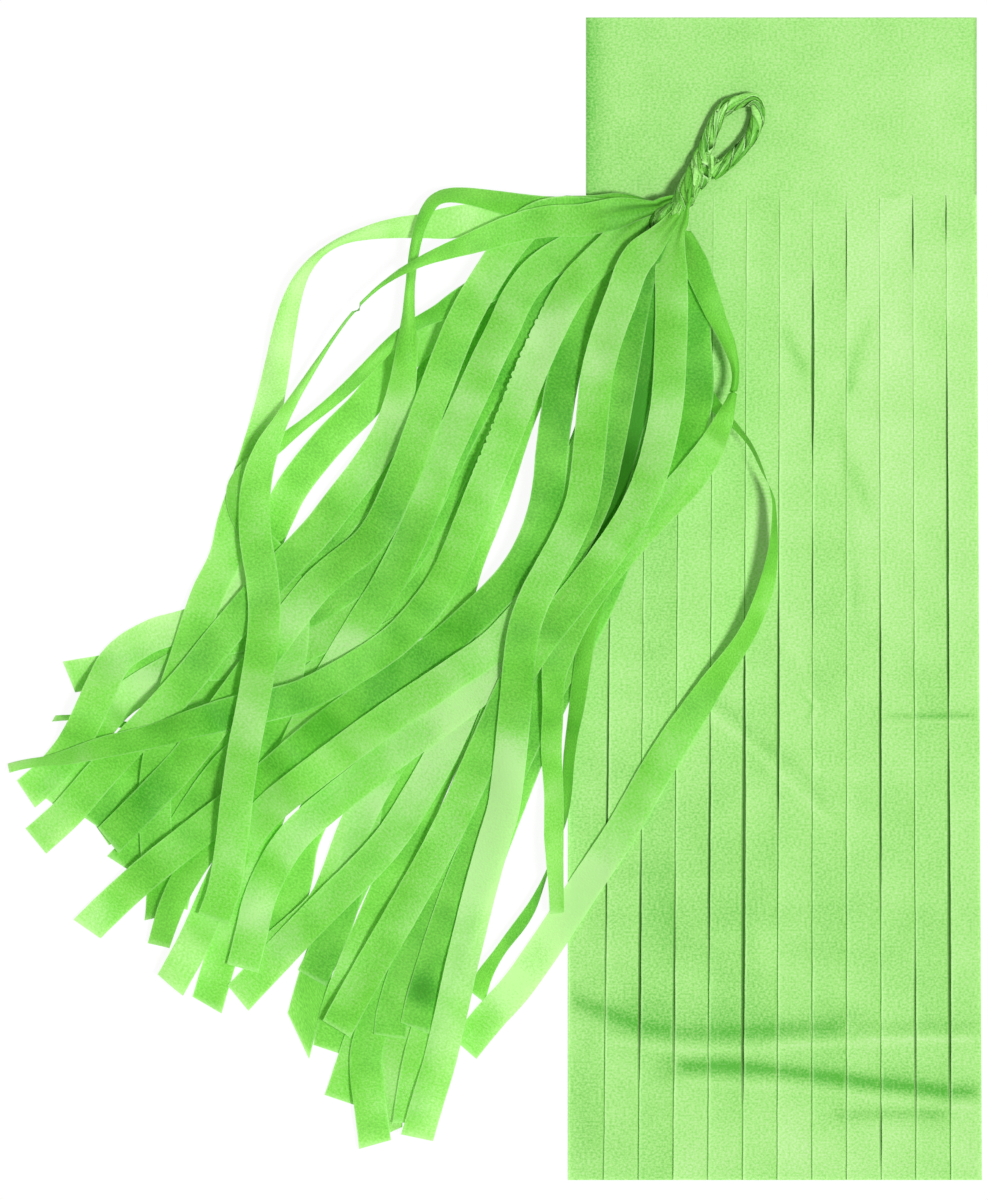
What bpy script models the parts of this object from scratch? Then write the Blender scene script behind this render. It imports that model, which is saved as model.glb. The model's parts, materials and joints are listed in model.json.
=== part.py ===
# A tissue paper tassel and the pre-cut sheet it is made from, lying flat on a table.
# The sheet is folded once along its top edge, and cut into tongues below an uncut band.
# The tassel is a second such sheet, rolled up: its band is twisted into a hanging loop
# and its tongues fan out from the twist, laid over each other, the sheet and the table.
# X runs across the sheet, Y from the tongues' ends up to the fold, Z up from the table.

import math

import bmesh
import bpy
import numpy as np

# The pre-cut sheet, in metres
STRIP_WIDTH = 0.010
STRIPS_ACROSS = 12
FIRST_STRIP_WIDTH = 0.0083
LAST_STRIP_WIDTH = 0.0093
STRIP_LENGTH = 0.2965
BAND_LENGTH = 0.0535
PLY = 0.00025
PLY_GAP = 0.0003
CUT_GAP = 0.0004
SPLAY_STEP = 0.00045
UPRIGHT_STRIP_SHARE = 0.63
OUTER_LEAN = 0.0055
OUTER_LEAN_SHARE = 0.62
FOLD_STEPS = 4

# The tassel, in metres
STRIP_GAP = 0.00032
ROOT_WIDTH = 0.0020
ROOT_PITCH = 0.0029
OPENING_OUT_LENGTH = 0.026
ARCH_LOWEST = 0.002
ARCH_HIGHEST = 0.013
ARCH_LENGTH_SHARE = 0.55
ROPE_RADIUS = 0.0022
ROPE_LIFT = 0.0020
ROPE_LOBES = 3
ROPE_LOBE_SHARE = 0.14
ROPE_TURNS = 3.0
ROPE_SIDES = 12
ROPE_RINGS = 40
NECK_TURNS = 0.7
NECK_SIDES = 18
NECK_RINGS = 12
ROOT_CHAMFER = 0.0006

# A tongue that stands on its edge curls, so it is only this much as high as it is wide
EDGE_HEIGHT_SHARE = 0.45

# How finely the strips are drawn and laid
STATIONS = 30
SAMPLES_PER_STEP = 20
SAMPLES_ACROSS = 41
GRID_CELL_SHARE = 0.025
TURN_WEIGHT = 1.6
ROOT_WEIGHT = 1.0
EASING_SAMPLES = 7
EASING_PASSES = 12
LIFT_PASSES = 40
LIFT_SHARE = 0.6

# Pixels of the reference picture that the real sizes above belong to
STRIP_LENGTH_PX = 985
BAND_LENGTH_PX = 178
SHEET_LEFT_PX = 586
CUT_ROOT_PX = 195
PIXEL = STRIP_LENGTH / STRIP_LENGTH_PX
BAND_PIXEL = BAND_LENGTH / BAND_LENGTH_PX

# Where the rolled-up band ends, on a flat face with the tongues' roots side by side
ROOT_FACE_PX = (669, 217)
ROOT_FACE_HEADING_DEG = -134
ROOT_COLUMNS = 4

# The loop and the neck, on their centre lines, and the neck's half width along it
LOOP_ROUTE_PX = (
    (702.4, 154.8), (705.5, 146), (709.5, 136), (717, 120), (728, 107.5), (742, 102),
    (753, 108), (755.5, 121), (750, 137), (740, 150), (730, 159.5), (720.6, 167.2),
)
NECK_ROUTE_PX = ((711.0, 161.5), (704, 170), (696, 180), (688, 190), (679.5, 202))
NECK_HALF_WIDTHS_PX = (18.5, 15.5, 12.0, 10.0, 9.0)

# The tongues of the tassel in the order that they lie, lowest first. Each row is a point
# of the centre line in pixels and how much of the strip's width faces up there: 1 is
# flat, 0 stands on its edge, and -1 is flat with the other face up.
STRIP_ROUTES_PX_AND_SHARES = (
    ((600, 262, 1), (540, 312, 1), (480, 372, 1), (425, 440, 1), (345, 565, 1),
     (272, 672, 1), (232, 702, 0.9), (192, 720, 0.6), (150, 727, 0.3), (110, 723, 0.2),
     (80, 718, 0.15), (54, 719, 0.15)),
    ((590, 256, 1), (520, 290, 1), (450, 345, 1), (395, 455, 1), (330, 548, 1),
     (260, 614, 1), (180, 655, 1), (104, 671, 1), (69, 677, 1)),
    ((580, 262, 1), (520, 305, 1), (465, 355, 1), (415, 410, 1), (392, 450, 1),
     (362, 495, 1), (332, 540, 1), (290, 590, 1), (215, 645, 1), (130, 695, 1),
     (98, 728, 1), (70, 766, 1), (48, 800, 1)),
    ((585, 242, 1), (525, 268, 1), (463, 306, 1), (408, 354, 1), (366, 404, 1),
     (325, 446, 1), (290, 492, 1), (266, 543, 1), (240, 588, 1), (202, 620, 1),
     (156, 634, 1), (118, 658, 1), (97, 697, 1), (80, 734, 1), (55, 768, 1),
     (26, 794, 1)),
    ((600, 285, 1), (545, 335, 1), (490, 400, 1), (445, 475, 1), (365, 570, 1),
     (280, 665, 1), (200, 745, 1), (135, 807, 1), (100, 832, 1)),
    ((610, 262, 1), (540, 300, 1), (475, 352, 1), (425, 408, 1), (378, 475, 1),
     (300, 570, 1), (205, 688, 1), (122, 783, 1), (88, 820, 1)),
    ((605, 275, 1), (545, 328, 1), (497, 400, 1), (455, 480, 1), (375, 585, 1),
     (290, 680, 1), (225, 775, 1), (182, 870, 1), (172, 905, 1)),
    ((615, 285, 1), (555, 335, 1), (512, 400, 1), (480, 465, 1), (440, 545, 1),
     (360, 640, 1), (245, 735, 1), (170, 812, 1), (144, 841, 1), (121, 865, 1)),
    ((612, 300, 1), (568, 340, 1), (531, 392, 1), (513, 436, 1), (491, 503, 1),
     (464, 562, 1), (430, 604, 1), (350, 668, 1), (240, 755, 1), (205, 797, 1),
     (180, 835, 1), (164, 870, 0.8), (158, 895, 0.7), (155, 918, 0.6)),
    ((640, 320, 1), (612, 400, 1), (582, 470, 1), (552, 545, 1), (475, 655, 1),
     (408, 765, 1), (360, 868, 1), (320, 960, 1), (294, 1053, 1)),
    ((645, 325, 1), (622, 410, 1), (560, 565, 1), (478, 685, 1), (428, 795, 1),
     (385, 893, 1), (341, 998, 1), (329, 1050, 1)),
    ((650, 330, 1), (632, 420, 1), (570, 570, 1), (508, 680, 1), (468, 785, 1),
     (427, 885, 1), (382, 980, 1), (340, 1100, 1)),
    ((655, 340, 1), (645, 430, 1), (588, 580, 1), (525, 700, 1), (480, 812, 1),
     (440, 915, 1), (403, 1010, 1), (393, 1052, 0.9), (390, 1092, 0.8), (393, 1131, 0.6)),
    ((660, 345, 1), (652, 430, 1), (612, 570, 1), (552, 700, 1), (506, 812, 1),
     (468, 915, 1), (434, 1010, 1), (418, 1065, 1), (409, 1122, 1)),
    ((625, 300, 1), (605, 390, 1), (572, 480, 1), (540, 560, 1), (450, 655, 1),
     (380, 760, 1), (358, 850, 1), (336, 925, 1), (312, 978, 1)),
    ((648, 335, 1), (628, 420, 1), (560, 575, 1), (500, 705, 1), (455, 830, 1),
     (412, 940, 1), (374, 1026, 1), (366, 1062, 1), (370, 1102, 1), (375, 1144, 1)),
    ((650, 340, 1), (634, 420, 1), (572, 570, 1), (513, 690, 1), (470, 800, 1),
     (428, 905, 1), (396, 1000, 1), (390, 1036, 1)),
    ((660, 345, 1), (654, 430, 1), (604, 590, 1), (548, 690, 1), (511, 770, 1),
     (474, 850, 1), (450, 912, 1), (425, 990, 1), (416, 1028, 1)),
    ((635, 300, 1), (605, 390, 1), (574, 475, 1), (545, 550, 1), (440, 650, 1),
     (352, 752, 1), (320, 803, 1), (302, 845, 1), (296, 880, 1), (285, 910, 1),
     (264, 934, 1)),
    ((640, 295, 1), (612, 385, 1), (576, 480, 1), (548, 556, 1), (462, 660, 1),
     (390, 762, 1), (358, 820, 1), (338, 872, 1), (324, 902, 1), (299, 927, 1),
     (268, 953, 1)),
    ((605, 256, 1), (556, 298, 1), (485, 405, 1), (430, 520, 1), (390, 580, 1),
     (345, 622, 1), (295, 650, 1), (250, 660, 1), (208, 665, 1)),
    ((605, 250, 1), (556, 292, 1), (480, 400, 1), (420, 515, 1), (380, 560, 1),
     (335, 595, 1), (285, 622, 1), (240, 636, 1), (206, 641, 1)),
    ((630, 210, 1), (590, 212, 1), (545, 215, 1), (500, 218, 1), (460, 222, 1),
     (430, 227, 0.8), (399, 227, 0.7), (367, 227, 0.6), (340, 238, 0.35),
     (322, 254, 0.35), (303, 279, 0.75), (289, 312, 0.95), (281, 347, 1), (273, 387, 1),
     (263, 428, 1), (252, 466, 1), (240, 502, 1), (224, 546, 1), (205, 600, 1),
     (187, 655, 1), (171, 705, 1), (162, 745, 1), (155, 790, 1), (156, 830, 1),
     (158, 863, 1)),
    ((590, 230, 1), (535, 256, 1), (485, 290, 1), (443, 320, 0.6), (424, 332, 0.5),
     (403, 345, 0.7), (384, 364, 1), (362, 389, 1), (343, 406, 0.95), (325, 417, 0.75),
     (304, 427, 0.65), (283, 440, 0.7), (259, 453, 0.7), (241, 472, 0.65),
     (235, 496, 0.65), (245, 522, 0.7), (263, 546, 0.9), (283, 574, 1), (293, 610, 1),
     (291, 650, 1), (284, 690, 1), (262, 748, 1), (236, 800, 1), (203, 850, 0.9),
     (177, 895, 0.8), (161, 945, 0.7)),
    ((630, 208, 1), (590, 212, 0.9), (550, 211, 0.85), (515, 206, 0.75), (483, 200, 0.6),
     (452, 198, 0.5), (431, 205, 0.5), (418, 224, 0.45), (411, 252, 0.4),
     (409, 285, 0.45), (410, 316, 0.6), (410, 348, 1), (405, 381, 1), (397, 412, 1),
     (384, 443, 1), (365, 470, 1), (344, 497, 1), (322, 526, 1), (290, 560, 1),
     (254, 600, 1), (220, 640, 1), (188, 680, 1), (151, 721, 1), (110, 764, 1),
     (69, 811, 1), (36, 841, 1)),
    ((612, 236, 1), (575, 248, 1), (540, 270, 1), (518, 298, 1), (503, 330, 1),
     (488, 360, 1), (472, 395, 1), (443, 458, 1), (420, 518, 1), (390, 580, 1),
     (350, 645, 1), (310, 718, 1), (270, 812, 1), (235, 912, 1), (207, 1005, 1)),
    ((645, 290, 1), (618, 370, 1), (550, 530, 1), (490, 645, 1), (446, 745, 1),
     (400, 825, 1), (372, 860, 1), (340, 892, 1), (304, 928, 1), (270, 964, 1),
     (238, 998, 1)),
    ((620, 216, 1), (585, 214, 1), (556, 214, 1), (530, 223, 1), (508, 247, 1),
     (488, 278, 1), (470, 308, 1), (455, 340, 1), (430, 405, 1), (404, 475, 1),
     (372, 538, 1), (318, 585, 1), (262, 658, 1), (190, 755, 1), (125, 824, 1),
     (109, 840, 1)),
    ((634, 240, 1), (610, 266, 1), (590, 300, 1), (565, 370, 1), (553, 440, 1),
     (550, 475, 1), (544, 510, 1), (530, 548, 1), (508, 582, 1), (478, 612, 1),
     (445, 642, 1), (405, 670, 1), (325, 728, 1), (258, 785, 1), (163, 860, 1),
     (121, 896, 1), (87, 929, 1)),
    ((628, 228, 1), (605, 247, 1), (584, 272, 1), (564, 302, 1), (535, 362, 1),
     (508, 430, 1), (484, 488, 1), (460, 548, 1), (446, 578, 1), (424, 610, 1),
     (398, 638, 1), (365, 662, 1), (330, 682, 1), (296, 698, 1), (262, 706, 1),
     (235, 712, 1), (200, 722, 0.9), (160, 735, 0.8), (120, 745, 0.7), (80, 755, 0.6),
     (45, 764, 0.3), (10, 772, 0.15)),
    ((650, 262, 1), (640, 330, 1), (634, 400, 1), (603, 510, 1), (575, 565, 1),
     (540, 618, 1), (504, 662, 1), (466, 700, 1), (388, 758, 1), (346, 791, 1),
     (304, 826, 1), (279, 858, 1), (260, 898, 1), (250, 940, 1), (243, 968, 1)),
    ((646, 256, 1), (634, 300, 1), (617, 400, 1), (601, 480, 1), (586, 520, 1),
     (562, 562, 1), (530, 606, 1), (498, 642, 1), (460, 670, 1), (380, 724, 1),
     (300, 784, 1), (264, 815, 1), (238, 850, 1), (217, 890, 1), (195, 940, 1),
     (171, 984, 1)),
    ((622, 213, 1), (585, 221, 1), (545, 222, 1), (504, 231, 1), (462, 248, 0.95),
     (430, 262, 0.8), (405, 275, 0.5), (380, 288, 0.3), (363, 302, 0.1),
     (346, 321, -0.2), (329, 345, -0.3), (314, 370, -0.5), (299, 392, -0.6),
     (283, 418, -0.7), (266, 452, -1), (256, 490, -1), (255, 530, -1), (262, 575, -1),
     (265, 612, -1), (262, 650, -1), (256, 692, -1), (247, 738, -1), (240, 780, -1),
     (230, 860, -1), (222, 898, -1), (214, 918, -1)),
    ((686, 262, 1), (690, 310, 1), (694, 350, 0.8), (704, 390, 0.5), (722, 413, 0.3),
     (742, 434, 0.15), (760, 462, 0.1), (770, 500, -0.1), (771, 540, -0.3),
     (764, 585, -0.45), (749, 623, -0.55), (724, 665, -0.7), (692, 713, -0.85),
     (657, 769, -1), (619, 835, -1), (584, 887, -1), (551, 938, -1), (514, 990, -1),
     (483, 1024, -1), (464, 1048, -1)),
    ((686, 254, 1), (691, 300, 1), (694, 340, 1), (697, 380, 1), (694, 420, 0.9),
     (682, 460, 0.9), (658, 500, 0.9), (625, 548, 0.8), (600, 588, 0.7),
     (589, 622, 0.6), (583, 665, 0.5), (577, 712, 0.45), (572, 760, 0.4),
     (568, 800, 0.25), (562, 832, 0.1), (545, 873, -0.1), (527, 910, -0.2),
     (507, 940, -0.3), (488, 968, -0.45), (475, 995, -0.7)),
    ((688, 250, 0.6), (695, 285, 0.7), (706, 318, 0.9), (724, 344, 0.9),
     (736, 368, 0.5), (740, 392, 0.05), (731, 420, -0.6), (712, 450, -0.9),
     (682, 487, -1), (648, 522, -1), (618, 556, -1), (590, 592, -1), (567, 632, -1),
     (554, 672, -0.8), (551, 715, -0.6), (551, 770, -0.6), (552, 820, -0.55),
     (553, 903, -0.5)),
    ((671, 262, 1), (671, 300, 1), (670, 350, 1), (667, 400, 1), (660, 440, 1),
     (648, 482, 1), (630, 520, 1), (606, 556, 1), (580, 590, 1), (556, 620, 1),
     (532, 652, 1), (511, 690, 1), (490, 737, 1), (445, 835, 1), (395, 925, 1),
     (366, 975, 1), (337, 1028, 1)),
    ((640, 262, 1), (621, 300, 1), (606, 340, 1), (596, 380, 1), (588, 460, 1),
     (582, 500, 1), (570, 532, 1), (554, 562, 1), (534, 600, 1), (522, 640, 1),
     (514, 720, 1), (504, 805, 1), (488, 860, 1), (464, 955, 1), (443, 1048, 1),
     (430, 1093, 1), (417, 1137, 1)),
)

TISSUE_GREEN = (0.21, 0.72, 0.10, 1.0)
SHADED_GREEN = (0.13, 0.55, 0.06, 1.0)
TISSUE_ROUGHNESS = 0.8

# Worked out from the sizes above
SHEET_WIDTH = FIRST_STRIP_WIDTH + STRIP_WIDTH * (STRIPS_ACROSS - 2) + LAST_STRIP_WIDTH
FRONT_PLY_Z = PLY + PLY_GAP
SHEET_TOP_Z = FRONT_PLY_Z + PLY
FORK_Z = SHEET_TOP_Z + ROPE_LIFT + ROPE_RADIUS


def clear_scene():
    for old in list(bpy.data.objects):
        bpy.data.objects.remove(old, do_unlink=True)


def tissue(name, colour):
    material = bpy.data.materials.new(name)
    material.use_nodes = True
    shader = material.node_tree.nodes["Principled BSDF"]
    shader.inputs["Base Color"].default_value = colour
    shader.inputs["Roughness"].default_value = TISSUE_ROUGHNESS
    material.diffuse_color = colour
    return material


# One named object, with its origin put on the joint that it turns on
def add_piece(name, shape, material, origin=(0.0, 0.0, 0.0), smooth=False):
    bmesh.ops.translate(shape, verts=shape.verts, vec=[-value for value in origin])
    bmesh.ops.recalc_face_normals(shape, faces=shape.faces)
    mesh = bpy.data.meshes.new(name)
    shape.to_mesh(mesh)
    shape.free()
    mesh.materials.append(material)
    if smooth:
        mesh.shade_smooth()
    piece = bpy.data.objects.new(name, mesh)
    piece.location = origin
    bpy.context.scene.collection.objects.link(piece)
    return piece


# A flat outline pushed out into a solid
def extruded(outline, push):
    shape = bmesh.new()
    face = shape.faces.new([shape.verts.new(point) for point in outline])
    pushed = bmesh.ops.extrude_face_region(shape, geom=[face])
    moved = [item for item in pushed["geom"] if isinstance(item, bmesh.types.BMVert)]
    bmesh.ops.translate(shape, verts=moved, vec=push)
    return shape


# Rings of as many points each, bridged one after another and filled at both ends
def bridged(rings):
    shape = bmesh.new()
    loops = [[shape.verts.new(point) for point in ring] for ring in rings]
    for near, far in zip(loops, loops[1:]):
        for i, vert in enumerate(near):
            j = (i + 1) % len(near)
            shape.faces.new((vert, near[j], far[j], far[i]))
    shape.faces.new(list(reversed(loops[0])))
    shape.faces.new(loops[-1])
    return shape


# A thin ribbon through rings of four points: left and right below, right and left above.
# Both faces are split along the same diagonals, so they stay parallel where it twists.
def ribboned(rings):
    shape = bmesh.new()
    loops = [[shape.verts.new(point) for point in ring] for ring in rings]
    for near, far in zip(loops, loops[1:]):
        shape.faces.new((near[0], near[1], far[1]))
        shape.faces.new((near[0], far[1], far[0]))
        shape.faces.new((near[3], far[2], near[2]))
        shape.faces.new((near[3], far[3], far[2]))
        shape.faces.new((near[1], near[2], far[2], far[1]))
        shape.faces.new((near[3], near[0], far[0], far[3]))
    shape.faces.new(list(reversed(loops[0])))
    shape.faces.new(loops[-1])
    return shape


def sheet_point(px, py):
    return np.array(((px - SHEET_LEFT_PX) * PIXEL, (CUT_ROOT_PX - py) * PIXEL))


# The rolled-up band keeps its own scale, measured from where it gathers
def band_point(px, py):
    offset = np.array((px - ROOT_FACE_PX[0], ROOT_FACE_PX[1] - py))
    return sheet_point(*ROOT_FACE_PX) + offset * BAND_PIXEL


# A smooth curve through the rows of a table, drawn finely
def smooth_rows(rows, steps):
    rows = np.array(rows, dtype=float)
    padded = np.vstack((rows[:1], rows, rows[-1:]))
    drawn = []
    for i in range(1, len(padded) - 2):
        a, b, c, d = padded[i - 1], padded[i], padded[i + 1], padded[i + 2]
        for t in np.arange(steps) / steps:
            drawn.append(0.5 * (2 * b + (c - a) * t + (2 * a - 5 * b + 4 * c - d) * t ** 2
                                + (3 * b - a - 3 * c + d) * t ** 3))
    drawn.append(rows[-1])
    return np.array(drawn)


# As many rows as asked for, at even steps of a measure that grows along the line
def picked(drawn, measure, count):
    wanted = np.linspace(0.0, measure[-1], count)
    return np.column_stack([np.interp(wanted, measure, column) for column in drawn.T])


def run_along(plan):
    steps = np.diff(plan[:, :2], axis=0)
    return np.concatenate(([0.0], np.cumsum(np.hypot(steps[:, 0], steps[:, 1]))))


def evenly_picked(drawn, count):
    return picked(drawn, run_along(drawn), count)


# Stations stand closer near the root, and where the line turns or the strip twists
def strip_stations(drawn):
    run = run_along(drawn)
    steps = np.diff(drawn[:, :2], axis=0)
    headings = np.unwrap(np.arctan2(steps[:, 1], steps[:, 0]))
    turns = np.abs(np.diff(headings, prepend=headings[0]))
    turns += np.abs(np.diff(drawn[:, 2]))
    measure = run + STRIP_WIDTH * TURN_WEIGHT * np.concatenate(([0.0], np.cumsum(turns)))
    measure += OPENING_OUT_LENGTH * ROOT_WEIGHT * (1 - np.exp(-run / OPENING_OUT_LENGTH))
    return picked(drawn, measure, STATIONS)


def eased(share):
    share = np.clip(share, 0.0, 1.0)
    return share * share * (3.0 - 2.0 * share)


# The lowest soft line that stays on or over the wanted one
def eased_down(wanted):
    window = np.hanning(2 * EASING_SAMPLES + 1)
    window /= window.sum()
    level = wanted
    for _ in range(EASING_PASSES):
        wide = np.pad(level, EASING_SAMPLES, mode="edge")
        level = np.maximum(wanted, np.convolve(wide, window, mode="valid"))
    return level


# Height of everything that lies there already, on a fine square grid
class Pile:
    def __init__(self, low, high):
        self.low = np.array(low)
        self.cell = STRIP_WIDTH * GRID_CELL_SHARE
        size = np.ceil((np.array(high) - self.low) / self.cell).astype(int) + 1
        self.height = np.zeros(size)

    def cells(self, x, y):
        column = np.rint((x - self.low[0]) / self.cell).astype(int)
        row = np.rint((y - self.low[1]) / self.cell).astype(int)
        return (np.clip(column, 1, self.height.shape[0] - 2),
                np.clip(row, 1, self.height.shape[1] - 2))

    def raise_to(self, x, y, z):
        np.maximum.at(self.height, self.cells(x, y), z)

    def under(self, x, y):
        column, row = self.cells(x, y)
        found = np.zeros(x.shape)
        for across in (-1, 0, 1):
            for along in (-1, 0, 1):
                found = np.maximum(found, self.height[column + across, row + along])
        return found


# One tongue of the tassel: its plan, its width and its twist at each station
class Strip:
    def __init__(self, rows, column):
        drawn = [(*root_place(column), 0.0)]
        for px, py, facing in rows:
            drawn.append((*sheet_point(px, py), math.acos(facing)))
        plan = strip_stations(smooth_rows(drawn, SAMPLES_PER_STEP))
        self.centre = plan[:, :2]
        self.roll = np.clip(plan[:, 2], 0.0, math.pi)
        self.run = run_along(plan)
        opened = eased(self.run / OPENING_OUT_LENGTH)
        self.half = 0.5 * (ROOT_WIDTH + (STRIP_WIDTH - CUT_GAP - ROOT_WIDTH) * opened)
        ahead = np.gradient(self.centre, axis=0)
        ahead[0] = face_heading()
        ahead /= np.hypot(ahead[:, 0], ahead[:, 1])[:, None]
        self.side = np.column_stack((-ahead[:, 1], ahead[:, 0]))
        self.rise = self.half * np.sin(self.roll) * EDGE_HEIGHT_SHARE
        self.reach = self.half * np.cos(self.roll)
        self.z = None

    # Points spread over every step between two stations, with the twist's offset in Z
    # on the higher and on the lower of the two ways to split a step into triangles
    def spread(self):
        along = (np.arange(SAMPLES_PER_STEP) + 0.5) / SAMPLES_PER_STEP
        across = np.linspace(0.0, 1.0, SAMPLES_ACROSS)
        a, b = np.meshgrid(along, across, indexing="ij")
        left = self.centre - self.side * self.reach[:, None]
        right = self.centre + self.side * self.reach[:, None]
        corner = np.stack((-self.rise, self.rise), axis=1)
        plan, upper, lower = [], [], []
        for i in range(STATIONS - 1):
            near = left[i] + (right[i] - left[i]) * b[..., None]
            far = left[i + 1] + (right[i + 1] - left[i + 1]) * b[..., None]
            plan.append(near + (far - near) * a[..., None])
            (z00, z01), (z10, z11) = corner[i], corner[i + 1]
            one = np.where(a >= b, z00 + a * (z10 - z00) + b * (z11 - z10),
                           z00 + b * (z01 - z00) + a * (z11 - z01))
            two = np.where(a + b <= 1, z00 + a * (z10 - z00) + b * (z01 - z00),
                           z11 + (1 - a) * (z01 - z11) + (1 - b) * (z10 - z11))
            upper.append(np.maximum(one, two))
            lower.append(np.minimum(one, two))
        return np.concatenate(plan), np.concatenate(upper), np.concatenate(lower)

    # Lays the strip over the pile: never closer than the gap, easing down where it can,
    # and arched near its root at least as high as asked for
    def lay(self, pile, arch):
        plan, upper, lower = self.spread()
        below = pile.under(plan[..., 0], plan[..., 1])
        need = (below - lower).max(axis=1) + STRIP_GAP + PLY / 2
        place = (np.arange(len(need)) + 0.5) / SAMPLES_PER_STEP
        stations = np.arange(STATIONS)
        run = np.interp(place, stations, self.run)
        share = np.clip(run / (run[-1] * ARCH_LENGTH_SHARE), 0.0, 1.0)
        even = np.linspace(0.0, run[-1], len(need))
        wanted = np.interp(even, run, np.maximum(need, arch * np.sin(math.pi * share)))
        self.z = np.interp(self.run, even, eased_down(wanted))
        for _ in range(LIFT_PASSES):
            short = need - np.interp(place, stations, self.z)
            lift = short.reshape(STATIONS - 1, SAMPLES_PER_STEP).max(axis=1)
            lift = np.maximum(lift, 0.0) * LIFT_SHARE
            self.z[:-1] += lift
            self.z[1:] += lift
        middle = np.interp(place, stations, self.z)[:, None]
        pile.raise_to(plan[..., 0], plan[..., 1], middle + upper + PLY / 2)

    def build(self, name, material):
        rings = []
        for i in range(STATIONS):
            side = np.array((*(self.side[i] * self.reach[i]), self.rise[i]))
            up = np.array((*(self.side[i] * -self.rise[i]), self.reach[i]))
            up *= PLY / 2 / np.linalg.norm(up)
            middle = np.array((*self.centre[i], self.z[i]))
            rings.append((middle - side - up, middle + side - up,
                          middle + side + up, middle - side + up))
        root = (*self.centre[0], self.z[0])
        return add_piece(name, ribboned(rings), material, root)


# The outline of one tongue of the flat sheet. The cuts splay out a little towards the
# free end, and the outermost tongue on the left leans out over most of its length.
def tongue_outline(number):
    left = FIRST_STRIP_WIDTH + STRIP_WIDTH * (number - 1) if number else 0.0
    right = FIRST_STRIP_WIDTH + STRIP_WIDTH * number
    right = SHEET_WIDTH if number == STRIPS_ACROSS - 1 else right - CUT_GAP / 2
    left += CUT_GAP / 2 if number else 0.0
    shift = tongue_shift(number)
    outline = [(left, -CUT_GAP), (left + shift, -STRIP_LENGTH),
               (right + shift, -STRIP_LENGTH), (right, -CUT_GAP)]
    if number == 0:
        outline[1] = (-OUTER_LEAN, -STRIP_LENGTH)
        outline.insert(1, (-OUTER_LEAN, -STRIP_LENGTH * OUTER_LEAN_SHARE))
    return outline


def tongue_shift(number):
    return SPLAY_STEP * (number - UPRIGHT_STRIP_SHARE * STRIPS_ACROSS)


def build_front_strips(material):
    for number in range(STRIPS_ACROSS):
        outline = [(x, y, FRONT_PLY_Z) for x, y in tongue_outline(number)]
        root = ((outline[0][0] + outline[-1][0]) / 2, -CUT_GAP, FRONT_PLY_Z + PLY / 2)
        add_piece(f"sheet_strip_{number + 1:02d}", extruded(outline, (0, 0, PLY)),
                  material, root)


# The uncut band of the front ply, with the fold turned down to the table at its top
def build_band(material):
    fold_y = BAND_LENGTH - SHEET_TOP_Z
    profile = [(0.0, 0.0, FRONT_PLY_Z), (0.0, 0.0, SHEET_TOP_Z)]
    quarter = [math.pi / 2 * step / FOLD_STEPS for step in range(FOLD_STEPS + 1)]
    for angle in reversed(quarter):
        profile.append((0.0, fold_y + SHEET_TOP_Z * math.cos(angle),
                        SHEET_TOP_Z * math.sin(angle)))
    for angle in quarter:
        profile.append((0.0, fold_y + FRONT_PLY_Z * math.cos(angle),
                        FRONT_PLY_Z * math.sin(angle)))
    add_piece("header_band", extruded(profile, (SHEET_WIDTH, 0, 0)), material)


# The back ply: the same band and tongues behind the front ones, cut from one piece
def build_back_ply(material):
    top = BAND_LENGTH - SHEET_TOP_Z
    outline = [(0.0, top, 0.0)]
    for number in range(STRIPS_ACROSS):
        outline += [(x, y, 0.0) for x, y in tongue_outline(number)]
    outline.append((SHEET_WIDTH, top, 0.0))
    add_piece("back_ply", extruded(outline, (0, 0, PLY)), material)


def face_heading():
    angle = math.radians(ROOT_FACE_HEADING_DEG)
    return np.array((math.cos(angle), math.sin(angle)))


# The face's direction, from the column on the left to the column on the right
def face_line():
    heading = face_heading()
    return np.array((-heading[1], heading[0]))


def root_place(column):
    offset = (column - (ROOT_COLUMNS - 1) / 2) * ROOT_PITCH
    return sheet_point(*ROOT_FACE_PX) + face_line() * offset


# Tongues that head furthest left leave the face on its left side, and so on round
def share_out_roots(routes):
    away = []
    for rows in routes:
        far = sheet_point(*rows[1][:2]) - sheet_point(*ROOT_FACE_PX)
        away.append(math.atan2(-far[1], -far[0]))
    order = sorted(range(len(routes)), key=lambda k: away[k])
    columns = [0] * len(routes)
    for place, k in enumerate(order):
        columns[k] = place * ROOT_COLUMNS // len(routes)
    return columns


def build_tassel_strips(material):
    routes = STRIP_ROUTES_PX_AND_SHARES
    columns = share_out_roots(routes)
    strips = [Strip(rows, column) for rows, column in zip(routes, columns)]
    low = np.min([s.centre.min(axis=0) for s in strips], axis=0) - STRIP_WIDTH
    high = np.max([s.centre.max(axis=0) for s in strips], axis=0) + STRIP_WIDTH
    pile = Pile(np.minimum(low, (0.0, -STRIP_LENGTH)),
                np.maximum(high, (SHEET_WIDTH, BAND_LENGTH)))
    lay_sheet_under(pile)
    for k, strip in enumerate(strips):
        share = k / (len(strips) - 1)
        strip.lay(pile, ARCH_LOWEST + (ARCH_HIGHEST - ARCH_LOWEST) * share)
        strip.build(f"tassel_strip_{k + 1:02d}", material)
    return strips


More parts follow.
